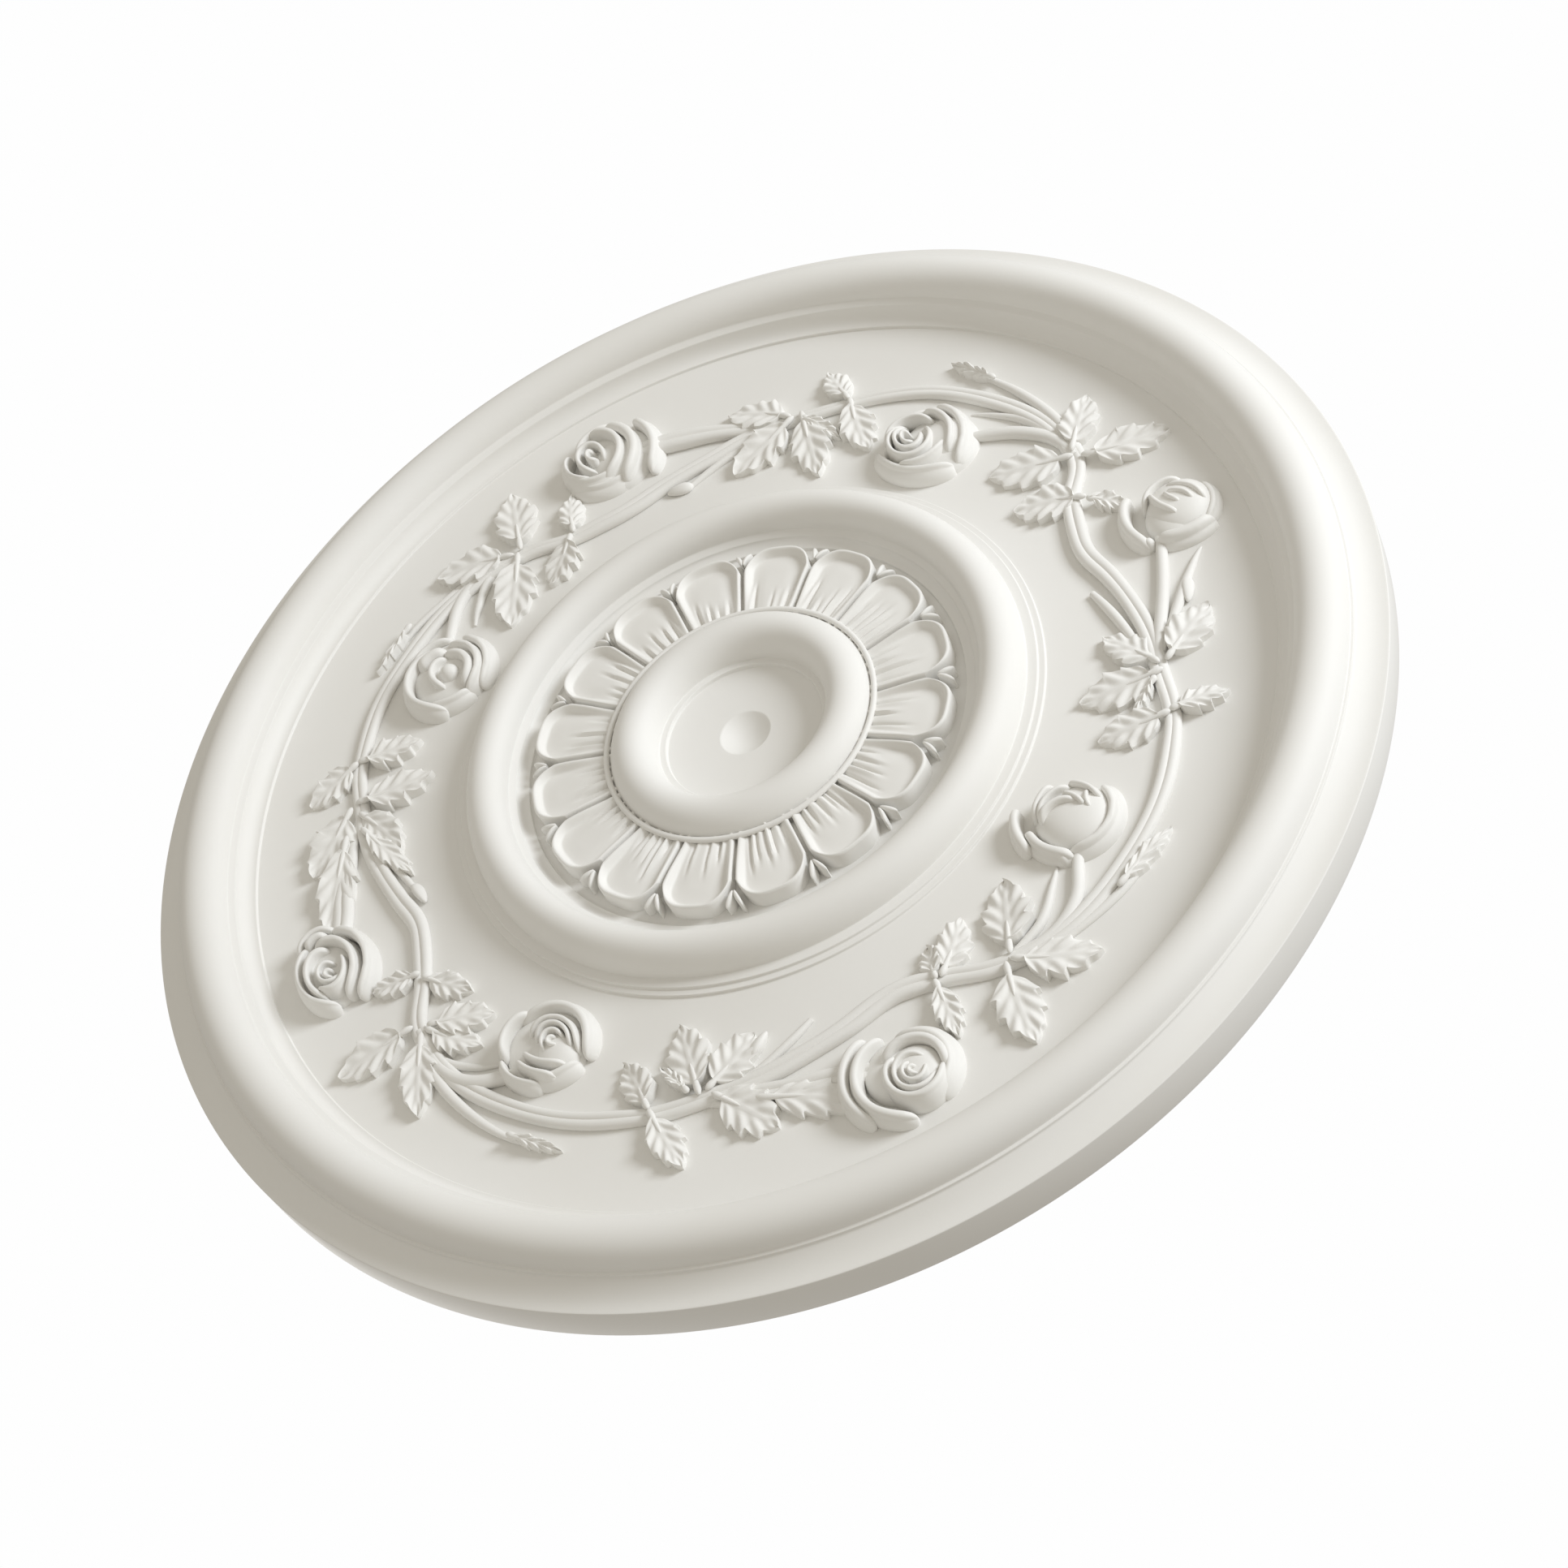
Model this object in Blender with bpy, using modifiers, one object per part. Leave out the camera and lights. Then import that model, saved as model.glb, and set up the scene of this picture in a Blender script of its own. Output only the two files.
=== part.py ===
"""Ceiling medallion with a rose garland, cast in one piece.

Run with: blender --background --python part.py

The face is modelled upwards, over a flat back at height zero, and the finished piece is then turned
over, so that its back lies against the ceiling at the origin and its carved face looks down.
"""

import math

import bmesh
import bpy
from mathutils import Matrix, Vector

MM = 0.001

# Turned body, from the outer edge inwards
OUTER_RADIUS = 300 * MM
WALL_HEIGHT = 19 * MM
COVE_WIDTH = 14 * MM
COVE_RISE = 5 * MM
COVE_SAG = 2.2 * MM
FILLET_WIDTH = 1.6 * MM
FILLET_RISE = 1.4 * MM
RIM_ROLL_WIDTH = 24 * MM
RIM_ROLL_RISE = 12.5 * MM
INNER_FILLET_DROP = 1.2 * MM
INNER_FILLET_WIDTH = 1.8 * MM
FIELD_COVE_WIDTH = 8 * MM
FIELD_HEIGHT = 13.5 * MM

# Ring between the field and the rosette
RING_RADIUS = 127 * MM
RING_WIDTH = 21 * MM
RING_RISE = 13 * MM
RING_LEDGE_WIDTH = 8 * MM
RING_LEDGE_RISE = 3 * MM
RING_COVE_WIDTH = 6.5 * MM
ROSETTE_FLOOR_HEIGHT = 12 * MM

# Roll and well in the middle
HUB_RADIUS = 53 * MM
HUB_WIDTH = 25 * MM
HUB_RISE = 16 * MM
WELL_STEP_WIDTH = 1.6 * MM
WELL_STEP_RISE = 1.5 * MM
WELL_FLOOR_HEIGHT = 11 * MM
DIMPLE_RADIUS = 12.5 * MM
DIMPLE_DEPTH = 4 * MM

# Rosette
PETAL_COUNT = 16
PETAL_REACH = 104 * MM
PETAL_GAP = 1.4 * MM
PETAL_RISE = 9 * MM
PETAL_RIM = 3 * MM
PETAL_DISH = 3.2 * MM
DART_LENGTH = 9 * MM
DART_WIDTH = 5 * MM
DART_RISE = 5 * MM

# Garland
QUARTERS = 4
STEM_WIDTH = 8.4 * MM
SHOOT_WIDTH = 5.6 * MM
STEM_PROUD = 0.55
LEAF_RISE = 5 * MM
ROSE_WIDTH = 47 * MM
ROSE_RISE = 13 * MM
BUD_WIDTH = 9 * MM
ROOT_DEPTH = 2 * MM

# Fineness of the facets
TURN_STEPS = 48
ROLL_ARCS = 5
COVE_ARCS = 2
PETAL_SIDES = 10
LEAF_SIDES = 8
ROSE_SIDES = 10
STEM_STEP_DEGREES = 8.0

CAST_COLOUR = (0.70, 0.67, 0.62, 1.0)
CAST_ROUGHNESS = 0.7

# Courses in one quarter of the garland: degrees round the quarter, and the share of the way across
# the field from the ring to the rim.
MAIN_STEM = [
    (0, 0.29), (8.5, 0.37), (15.5, 0.52), (23, 0.60), (36, 0.635), (49, 0.615),
    (57, 0.57), (64.5, 0.515), (73, 0.42), (82, 0.33),
]
OUTER_ROSE_STEM = [(62, 0.525), (70, 0.505), (76, 0.54), (82, 0.62), (86, 0.68)]
INNER_ROSE_STEM = [(18, 0.565), (24, 0.55), (29, 0.48), (33, 0.38)]
CUT_STEM = [(17, 0.565), (23, 0.655), (29.5, 0.745), (36.5, 0.785)]
SHORT_SHOOT = [(17, 0.545), (23, 0.51), (27.5, 0.43)]
BUD_SHOOT = [(62, 0.52), (69, 0.41), (75, 0.31), (79, 0.245)]

# Leaves in one quarter: base, tip, and the half-width as a share of the length
LEAVES = [
    ((17.5, 0.58), (22.8, 0.83), 0.27),
    ((15.3, 0.55), (11.4, 0.905), 0.25),
    ((8.6, 0.39), (6.2, 0.665), 0.19),
    ((15.0, 0.50), (23.5, 0.235), 0.29),
    ((8.8, 0.36), (17.0, 0.225), 0.29),
    ((56.8, 0.58), (60.2, 0.805), 0.27),
    ((56.5, 0.56), (50.3, 0.325), 0.27),
    ((62.5, 0.54), (71.6, 0.705), 0.29),
    ((61.8, 0.51), (57.3, 0.175), 0.25),
    ((63.5, 0.50), (70.8, 0.27), 0.27),
    ((82.5, 0.70), (75.8, 0.69), 0.22),
]

# Roses in one quarter: place, size against ROSE_WIDTH, and the turn of the spiral in degrees
ROSES = [((88.0, 0.70), 1.0, 200), ((37.5, 0.305), 0.95, 20)]

# Profile of a rose: share of its radius and share of its rise, from the heart outwards
ROSE_PROFILE = [
    (0.0, 0.88), (0.20, 1.0), (0.34, 0.80), (0.47, 0.93), (0.64, 0.62), (0.78, 0.70), (1.0, 0.25),
]


def arc_points(start, end, rise, count):
    """Half-oval crest from start to end, both (radius, height), without its two end points."""
    points = []
    for index in range(1, count):
        turn = math.pi * index / count
        share = (1 - math.cos(turn)) / 2
        radius = start[0] + (end[0] - start[0]) * share
        height = start[1] + (end[1] - start[1]) * share + rise * math.sin(turn)
        points.append((radius, height))
    return points


def cove_points(start, end, count):
    """Hollow quarter round from a high start down to a low end, without its two end points."""
    points = []
    for index in range(1, count):
        turn = math.pi / 2 * index / count
        radius = start[0] + (end[0] - start[0]) * (1 - math.cos(turn))
        height = start[1] + (end[1] - start[1]) * math.sin(turn)
        points.append((radius, height))
    return points


def body_sizes():
    """Radii that follow from the widths above, in a dictionary."""
    sizes = {}
    sizes["fillet"] = OUTER_RADIUS - COVE_WIDTH
    sizes["roll_out"] = sizes["fillet"] - FILLET_WIDTH
    sizes["roll_in"] = sizes["roll_out"] - RIM_ROLL_WIDTH
    sizes["field_out"] = sizes["roll_in"] - INNER_FILLET_WIDTH - FIELD_COVE_WIDTH
    sizes["ring_out"] = RING_RADIUS + RING_WIDTH / 2
    sizes["field_in"] = sizes["ring_out"] + RING_LEDGE_WIDTH
    sizes["ring_in"] = RING_RADIUS - RING_WIDTH / 2
    sizes["floor_out"] = sizes["ring_in"] - INNER_FILLET_WIDTH - RING_COVE_WIDTH
    sizes["hub_out"] = HUB_RADIUS + HUB_WIDTH / 2
    sizes["hub_in"] = HUB_RADIUS - HUB_WIDTH / 2
    return sizes


SIZES = body_sizes()


def body_profile():
    """Half section of the body, from the middle of the face outwards and back along the base."""
    well = WELL_FLOOR_HEIGHT
    step_radius = SIZES["hub_in"] - WELL_STEP_WIDTH
    points = [(0.0, well - DIMPLE_DEPTH), (DIMPLE_RADIUS * 0.55, well - DIMPLE_DEPTH * 0.78)]
    points += [(DIMPLE_RADIUS, well), (step_radius, well), (step_radius, well + WELL_STEP_RISE)]

    hub_in = (SIZES["hub_in"], well + WELL_STEP_RISE)
    hub_out = (SIZES["hub_out"], ROSETTE_FLOOR_HEIGHT)
    points += [hub_in] + arc_points(hub_in, hub_out, HUB_RISE, ROLL_ARCS) + [hub_out]

    ring_foot = FIELD_HEIGHT + RING_LEDGE_RISE
    ring_in = (SIZES["ring_in"], ring_foot + INNER_FILLET_DROP)
    ring_out = (SIZES["ring_out"], ring_foot)
    floor_edge = (SIZES["floor_out"], ROSETTE_FLOOR_HEIGHT)
    ring_step = (SIZES["ring_in"] - INNER_FILLET_WIDTH, ring_foot)
    points += [floor_edge] + cove_points(ring_step, floor_edge, COVE_ARCS)[::-1] + [ring_step]
    points += [ring_in] + arc_points(ring_in, ring_out, RING_RISE, ROLL_ARCS) + [ring_out]
    points += [(SIZES["field_in"] - RING_LEDGE_WIDTH / 3, ring_foot), (SIZES["field_in"], FIELD_HEIGHT)]

    roll_foot = WALL_HEIGHT + COVE_RISE + FILLET_RISE
    roll_in = (SIZES["roll_in"], roll_foot)
    roll_out = (SIZES["roll_out"], roll_foot)
    field_edge = (SIZES["field_out"], FIELD_HEIGHT)
    rim_step = (SIZES["roll_in"] - INNER_FILLET_WIDTH, roll_foot - INNER_FILLET_DROP)
    points += [field_edge] + cove_points(rim_step, field_edge, COVE_ARCS)[::-1] + [rim_step]
    points += [roll_in] + arc_points(roll_in, roll_out, RIM_ROLL_RISE, ROLL_ARCS) + [roll_out]

    fillet_low = (SIZES["fillet"], WALL_HEIGHT + COVE_RISE)
    edge = (OUTER_RADIUS, WALL_HEIGHT)
    sag = (SIZES["fillet"] + COVE_WIDTH * 0.4, WALL_HEIGHT + COVE_RISE / 2 - COVE_SAG * 0.6)
    points += [(SIZES["fillet"], roll_foot), fillet_low, sag, edge, (OUTER_RADIUS, 0.0), (0.0, 0.0)]
    return points


def clear_scene():
    """Remove the objects of the scene."""
    for item in list(bpy.data.objects):
        bpy.data.objects.remove(item, do_unlink=True)


def new_collection(name):
    """A collection linked to the scene."""
    group = bpy.data.collections.new(name)
    bpy.context.scene.collection.children.link(group)
    return group


def cast_material():
    """Primed off-white casting."""
    material = bpy.data.materials.new("primed_casting")
    material.use_nodes = True
    shader = material.node_tree.nodes["Principled BSDF"]
    shader.inputs["Base Color"].default_value = CAST_COLOUR
    shader.inputs["Roughness"].default_value = CAST_ROUGHNESS
    shader.inputs["Metallic"].default_value = 0.0
    return material


def place(degrees, share):
    """Point on the field, from degrees round the face and the share of the way across the field."""
    radius = SIZES["field_in"] + share * (SIZES["field_out"] - SIZES["field_in"])
    turn = math.radians(degrees)
    return Vector((radius * math.cos(turn), radius * math.sin(turn), FIELD_HEIGHT))


def evaluated_mesh(item, name):
    """Mesh of an object with its modifiers or bevel applied, its doubled points merged."""
    graph = bpy.context.evaluated_depsgraph_get()
    mesh = bpy.data.meshes.new_from_object(item.evaluated_get(graph))
    mesh.name = name
    shape = bmesh.new()
    shape.from_mesh(mesh)
    bmesh.ops.remove_doubles(shape, verts=shape.verts, dist=0.00002)
    bmesh.ops.recalc_face_normals(shape, faces=shape.faces)
    shape.to_mesh(mesh)
    shape.free()
    return mesh


def turned_object(name, profile, steps, group):
    """Object with a Screw modifier that turns a half section round the Z axis."""
    mesh = bpy.data.meshes.new(name)
    edges = [(index, index + 1) for index in range(len(profile) - 1)]
    mesh.from_pydata([(radius, 0.0, height) for radius, height in profile], edges, [])
    item = bpy.data.objects.new(name, mesh)
    group.objects.link(item)
    screw = item.modifiers.new("turn", "SCREW")
    screw.steps = steps
    screw.render_steps = steps
    screw.use_merge_vertices = True
    screw.merge_threshold = 0.00001
    return item


def add_carving(name, mesh, group):
    """Object of a carved piece, which the body takes in by a Boolean union."""
    item = bpy.data.objects.new(name, mesh)
    item.hide_render = True
    item.display_type = "WIRE"
    group.objects.link(item)
    return item


def mesh_from_cone(name, sides, shape_point, rim=None):
    """Mesh of a disc-like block whose points are set by a function.

    shape_point takes the turn round the outline, the share of the outline's size and a level, 0 at
    the root and 1 at the top, and returns a point. With rim, the top face is inset and dished.
    """
    shape = bmesh.new()
    bmesh.ops.create_cone(
        shape, cap_ends=True, segments=sides, radius1=1.0, radius2=1.0, depth=1.0
    )
    if rim is not None:
        top = max(shape.faces, key=lambda face: face.calc_center_median().z)
        bmesh.ops.inset_region(shape, faces=[top], thickness=rim)
        for vert in top.verts:
            vert.co.z = 1.0
    for vert in shape.verts:
        turn = math.atan2(vert.co.y, vert.co.x)
        size = math.hypot(vert.co.x, vert.co.y)
        level = 2 if vert.co.z > 0.9 else (1 if vert.co.z > 0 else 0)
        vert.co = shape_point(turn, size, level)
    bmesh.ops.recalc_face_normals(shape, faces=shape.faces)
    mesh = bpy.data.meshes.new(name)
    shape.to_mesh(mesh)
    shape.free()
    return mesh


def petal_mesh():
    """Dished petal of the rosette along +X, with a raised rim and a round end."""
    inner = SIZES["hub_out"] - PETAL_RIM
    half_pitch = math.pi / PETAL_COUNT
    length = PETAL_REACH - inner

    def shape_point(turn, size, level):
        along = inner + length * (1 + math.cos(turn)) / 2
        round_end = min(1.0, math.sqrt(max(0.0, (PETAL_REACH - along) / (length * 0.32))))
        half_width = max(0.0, along * math.tan(half_pitch) - PETAL_GAP / 2) * round_end
        side = 0.0 if abs(math.sin(turn)) < 0.001 else math.copysign(1.0, turn)
        inset = PETAL_RIM if level == 2 else 0.0
        middle = inner + length * 0.5
        x = along + math.copysign(inset, middle - along) * abs(math.cos(turn))
        y = side * max(half_width - inset, 0.0)
        height = (-ROOT_DEPTH, PETAL_RISE, PETAL_RISE - PETAL_DISH)[level]
        lift = 0.55 + 0.45 * (along - inner) / length
        return Vector((x, y, ROSETTE_FLOOR_HEIGHT + (height * lift if level else height)))

    return mesh_from_cone("petal", PETAL_SIDES, shape_point, rim=0.2)


def dart_mesh():
    """Small teardrop between two petals, along +X."""
    middle = PETAL_REACH - DART_LENGTH * 0.15

    def shape_point(turn, size, level):
        x = middle + DART_LENGTH / 2 * math.cos(turn) * (0.5 if level == 1 else 1.0)
        blunt = 0.75 + 0.25 * math.cos(turn)
        y = DART_WIDTH / 2 * math.sin(turn) * blunt * (0.5 if level == 1 else 1.0)
        height = DART_RISE if level == 1 else -ROOT_DEPTH
        return Vector((x, y, ROSETTE_FLOOR_HEIGHT + height))

    return mesh_from_cone("dart", 6, shape_point)


def leaf_mesh(name, base, tip, width_share):
    """Pointed leaf that lies on the field from base to tip, with a chamfered edge."""
    axis = tip - base
    length = axis.length
    along = axis.normalized()
    across = Vector((-along.y, along.x, 0.0))
    inset_share = 0.7

    def shape_point(turn, size, level):
        share = (1 - math.cos(turn)) / 2
        taper = 1 - 0.6 * share ** 3
        half = width_share * length * math.sin(turn) * taper
        if level == 1:
            share = 0.5 + (share - 0.5) * 0.8
            half *= inset_share
        point = base + along * (length * share) + across * half
        rise = LEAF_RISE * (1 - 0.35 * share)
        point.z = FIELD_HEIGHT + (rise if level == 1 else -ROOT_DEPTH)
        return point

    return mesh_from_cone(name, LEAF_SIDES, shape_point)


def rose_mesh(name, centre, size, spiral_degrees, helpers):
    """Open rose of turned whorls, swept into a spiral about an off-centre heart."""
    radius = ROSE_WIDTH / 2 * size
    rise = ROSE_RISE * size
    profile = [(radius * share, rise * height) for share, height in ROSE_PROFILE]
    profile += [(radius, -ROOT_DEPTH), (0.0, -ROOT_DEPTH)]
    turned = turned_object(name, profile, ROSE_SIDES, helpers)
    mesh = evaluated_mesh(turned, name)
    bpy.data.objects.remove(turned)
    spiral = math.radians(spiral_degrees)
    for vert in mesh.vertices:
        reach = math.hypot(vert.co.x, vert.co.y) / radius
        turn = math.atan2(vert.co.y, vert.co.x)
        wave = 1 + 0.06 * reach * math.cos(2 * (turn - spiral) + 4 * reach)
        lean = Vector((math.cos(spiral), math.sin(spiral), 0.0)) * (0.12 * radius * (1 - reach))
        x = vert.co.x * wave + lean.x
        y = vert.co.y * wave + lean.y
        vert.co = Vector((x, y, vert.co.z)) + centre
    return mesh


def smooth_course(course, closed):
    """Points on a smooth curve through a course of (degrees, share), close enough for a tube."""
    points = []
    count = len(course)
    last = count if closed else count - 1
    for index in range(last):
        if closed:
            known = [course[(index + step) % count] for step in (-1, 0, 1, 2)]
            known = [list(item) for item in known]
            for before, after in ((2, 1), (1, 0)):
                if known[after][0] > known[before][0]:
                    known[after][0] -= 360
            for step in (2, 3):
                if known[step][0] < known[step - 1][0]:
                    known[step][0] += 360
        else:
            known = [course[min(max(index + step, 0), count - 1)] for step in (-1, 0, 1, 2)]
        span = abs(known[2][0] - known[1][0])
        pieces = max(1, round(span / STEM_STEP_DEGREES))
        for piece in range(pieces):
            share = piece / pieces
            points.append(spline_point(known, share))
    if not closed:
        points.append(tuple(course[-1]))
    return points


def spline_point(known, share):
    """Point of a Catmull-Rom curve between the second and third of four known points."""
    result = []
    for axis in range(2):
        a, b, c, d = (item[axis] for item in known)
        curve = 2 * b + (c - a) * share + (2 * a - 5 * b + 4 * c - d) * share ** 2
        curve += (3 * b - a - 3 * c + d) * share ** 3
        result.append(curve / 2)
    return tuple(result)


def stem_mesh(name, course, width, closed, helpers):
    """Tube along a course on the field, standing proud of it by STEM_PROUD of its width.

    The main stems have six sides, and the thin shoots four.
    """
    curve = bpy.data.curves.new(name, "CURVE")
    curve.dimensions = "3D"
    curve.bevel_depth = width / 2
    curve.bevel_resolution = 1 if width > SHOOT_WIDTH else 0
    curve.use_fill_caps = True
    spline = curve.splines.new("POLY")
    points = smooth_course(course, closed)
    spline.points.add(len(points) - 1)
    for target, (degrees, share) in zip(spline.points, points):
        spot = place(degrees, share)
        spot.z += width * (STEM_PROUD - 0.5)
        target.co = (spot.x, spot.y, spot.z, 1.0)
    spline.use_cyclic_u = closed
    item = bpy.data.objects.new(name, curve)
    helpers.objects.link(item)
    mesh = evaluated_mesh(item, name)
    bpy.data.objects.remove(item)
    return mesh


def quarter_courses(start):
    """Name, course and width of the side stems of one quarter that begins at start degrees."""
    courses = [
        ("outer_rose_stem", OUTER_ROSE_STEM, STEM_WIDTH),
        ("inner_rose_stem", INNER_ROSE_STEM, SHOOT_WIDTH),
        ("cut_stem", CUT_STEM, SHOOT_WIDTH),
        ("short_shoot", SHORT_SHOOT, SHOOT_WIDTH),
        ("bud_shoot", BUD_SHOOT, SHOOT_WIDTH),
    ]
    moved = []
    for name, course, width in courses:
        moved.append((name, [(degrees + start, share) for degrees, share in course], width))
    return moved


def carve_garland(carvings, helpers):
    """Main stem all round, and the side stems, leaves, buds and roses of each quarter."""
    quarter = 360 / QUARTERS
    whole = []
    for index in range(QUARTERS):
        whole += [(degrees + index * quarter, share) for degrees, share in MAIN_STEM]
    add_carving("main_stem", stem_mesh("main_stem", whole, STEM_WIDTH, True, helpers), carvings)

    for index in range(QUARTERS):
        start = index * quarter
        for name, course, width in quarter_courses(start):
            label = f"{name}_{index + 1}"
            add_carving(label, stem_mesh(label, course, width, False, helpers), carvings)
        for count, (base, tip, width_share) in enumerate(LEAVES):
            label = f"leaf_{index + 1}_{count + 1}"
            base_point = place(base[0] + start, base[1])
            tip_point = place(tip[0] + start, tip[1])
            add_carving(label, leaf_mesh(label, base_point, tip_point, width_share), carvings)
        bud_end = BUD_SHOOT[-1]
        bud_point = place(bud_end[0] + start, bud_end[1])
        add_carving(f"bud_{index + 1}", bud_mesh(bud_point), carvings)
        for count, (spot, size, spiral) in enumerate(ROSES):
            label = f"rose_{index + 1}_{count + 1}"
            centre = place(spot[0] + start, spot[1])
            mesh = rose_mesh(label, centre, size, spiral + start, helpers)
            add_carving(label, mesh, carvings)


def bud_mesh(centre):
    """Small round bud at the end of a shoot."""
    shape = bmesh.new()
    bmesh.ops.create_icosphere(shape, subdivisions=1, radius=BUD_WIDTH / 2)
    bmesh.ops.translate(shape, verts=shape.verts, vec=centre)
    mesh = bpy.data.meshes.new("bud")
    shape.to_mesh(mesh)
    shape.free()
    return mesh


def carve_rosette(carvings):
    """Petals round the hub, and a dart in each gap between their round ends."""
    petal = petal_mesh()
    dart = dart_mesh()
    pitch = 2 * math.pi / PETAL_COUNT
    for index in range(PETAL_COUNT):
        item = add_carving(f"petal_{index + 1}", petal, carvings)
        item.rotation_euler.z = pitch * (index + 0.5)
        item = add_carving(f"dart_{index + 1}", dart, carvings)
        item.rotation_euler.z = pitch * index


def build():
    """Turn the body, unite it with its carving and turn it face down."""
    clear_scene()
    parts = new_collection("ceiling_medallion_parts")
    carvings = new_collection("carvings")

    medallion = turned_object("ceiling_medallion", body_profile(), TURN_STEPS, parts)
    carve_rosette(carvings)
    carve_garland(carvings, carvings)

    union = medallion.modifiers.new("carving", "BOOLEAN")
    union.operation = "UNION"
    union.operand_type = "COLLECTION"
    union.collection = carvings
    union.solver = "EXACT"

    bpy.context.view_layer.update()
    mesh = evaluated_mesh(medallion, "ceiling_medallion")
    medallion.modifiers.clear()
    medallion.data = mesh
    mesh.transform(Matrix.Rotation(math.pi, 4, "X"))
    mesh.materials.clear()
    mesh.materials.append(cast_material())
    mesh.shade_smooth()
    mesh.set_sharp_from_angle(angle=math.radians(35))


build()
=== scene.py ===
"""Looks of a moulded ceiling medallion with a rose garland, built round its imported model.

Every carved piece is modelled face up on a bench, over a flat back at height zero, as the part's own
source does. The last step of each piece turns it over, so that the carved face looks down from the
ceiling. On the bench, degrees run anticlockwise round the face, and a reach is a share of the
medallion's outer radius.
"""

import logging
import math
import random
from collections.abc import Callable, Iterator, Sequence
from contextlib import contextmanager
from dataclasses import dataclass
from enum import Enum

import bpy
import numpy as np
from mathutils import Matrix, Vector


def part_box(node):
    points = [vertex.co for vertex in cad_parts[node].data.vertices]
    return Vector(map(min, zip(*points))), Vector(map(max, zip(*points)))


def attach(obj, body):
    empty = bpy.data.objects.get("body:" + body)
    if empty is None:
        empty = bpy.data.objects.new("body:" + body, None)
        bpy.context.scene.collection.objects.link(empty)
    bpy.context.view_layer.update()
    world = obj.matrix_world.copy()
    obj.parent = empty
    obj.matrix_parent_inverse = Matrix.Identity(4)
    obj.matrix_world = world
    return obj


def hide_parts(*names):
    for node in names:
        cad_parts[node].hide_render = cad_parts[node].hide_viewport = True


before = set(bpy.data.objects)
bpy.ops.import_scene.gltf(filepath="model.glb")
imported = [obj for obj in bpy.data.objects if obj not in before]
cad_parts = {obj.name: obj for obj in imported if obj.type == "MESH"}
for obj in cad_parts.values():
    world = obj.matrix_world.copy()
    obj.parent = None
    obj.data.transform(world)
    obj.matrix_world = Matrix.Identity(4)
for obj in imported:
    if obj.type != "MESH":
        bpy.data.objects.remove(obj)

MM = 0.001
NODE = "ceiling_medallion"
SMOOTH_ANGLE = 42.0
LOG = logging.getLogger("ceiling_medallion")

Spot = tuple[float, float]
Place = Callable[[np.ndarray], np.ndarray]


class Pick(Enum):
    """What an edit picks in a mesh."""

    POINTS = "VERT"
    EDGES = "EDGE"


def deselect() -> None:
    """Leave nothing selected, so that the next operator acts on its own object alone."""
    bpy.ops.object.select_all(action="DESELECT")


def select_only(item: bpy.types.Object) -> None:
    """Make one object the only selected and the active one.

    Args:
        item: The object to select.
    """
    deselect()
    item.select_set(True)
    bpy.context.view_layer.objects.active = item


@contextmanager
def editing(item: bpy.types.Object, pick: Pick = Pick.POINTS) -> Iterator[None]:
    """Work on one mesh in edit mode, and leave it in object mode.

    Args:
        item: The object.
        pick: What is picked in it.

    Yields:
        Nothing, while the mesh is open for editing.
    """
    select_only(item)
    bpy.ops.object.mode_set(mode="EDIT")
    bpy.ops.mesh.select_mode(type=pick.value)
    yield
    bpy.ops.object.mode_set(mode="OBJECT")


def reshape(item: bpy.types.Object, place: Place) -> None:
    """Move every vertex of a primitive to where a function puts it.

    Args:
        item: A mesh object.
        place: Takes the vertices' coordinates, one row each, and returns the new ones.
    """
    mesh = item.data
    flat = np.empty(len(mesh.vertices) * 3, np.float32)
    mesh.vertices.foreach_get("co", flat)
    moved = place(flat.reshape(-1, 3).astype(float))
    mesh.vertices.foreach_set("co", moved.astype(np.float32).ravel())
    mesh.update()


def new_blank(name: str, columns: int, rows: int) -> bpy.types.Object:
    """Add a flat grid from -1 to 1 both ways, which a function then shapes.

    Args:
        name: Name of the object.
        columns: Cells along X.
        rows: Cells along Y.

    Returns:
        The grid.
    """
    deselect()
    bpy.ops.mesh.primitive_grid_add(x_subdivisions=columns, y_subdivisions=rows, size=2)
    item = bpy.context.object
    item.name = name
    return item


def new_ball(name: str, segments: int, rings: int) -> bpy.types.Object:
    """Add a ball of radius 1, which a function then pulls into shape.

    Args:
        name: Name of the object.
        segments: Points round its equator.
        rings: Steps from pole to pole.

    Returns:
        The ball.
    """
    deselect()
    bpy.ops.mesh.primitive_uv_sphere_add(segments=segments, ring_count=rings, radius=1)
    item = bpy.context.object
    item.name = name
    return item


def face_outwards(item: bpy.types.Object) -> None:
    """Recalculate the normals of a closed mesh.

    Args:
        item: The object.
    """
    with editing(item):
        bpy.ops.mesh.select_all(action="SELECT")
        bpy.ops.mesh.normals_make_consistent(inside=False)


def root_down(item: bpy.types.Object, floor: float) -> None:
    """Extrude the open edge of a shaped blank down into what carries it, and close it below.

    Args:
        item: The blank.
        floor: Height at which the walls end.
    """
    with editing(item, Pick.EDGES):
        bpy.ops.mesh.select_all(action="DESELECT")
        bpy.ops.mesh.select_non_manifold(extend=False, use_multi_face=False, use_non_contiguous=False)
        bpy.ops.mesh.extrude_region_move()
    for vert in item.data.vertices:
        if vert.select:
            vert.co.z = floor
    with editing(item, Pick.EDGES):
        bpy.ops.mesh.edge_face_add()
    face_outwards(item)


def subdivide(item: bpy.types.Object, levels: int) -> None:
    """Round a mesh with an applied Subdivision Surface.

    Args:
        item: The object.
        levels: Levels of subdivision.
    """
    select_only(item)
    modifier = item.modifiers.new("round", "SUBSURF")
    modifier.levels = levels
    modifier.render_levels = levels
    bpy.ops.object.modifier_apply(modifier=modifier.name)


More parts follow.
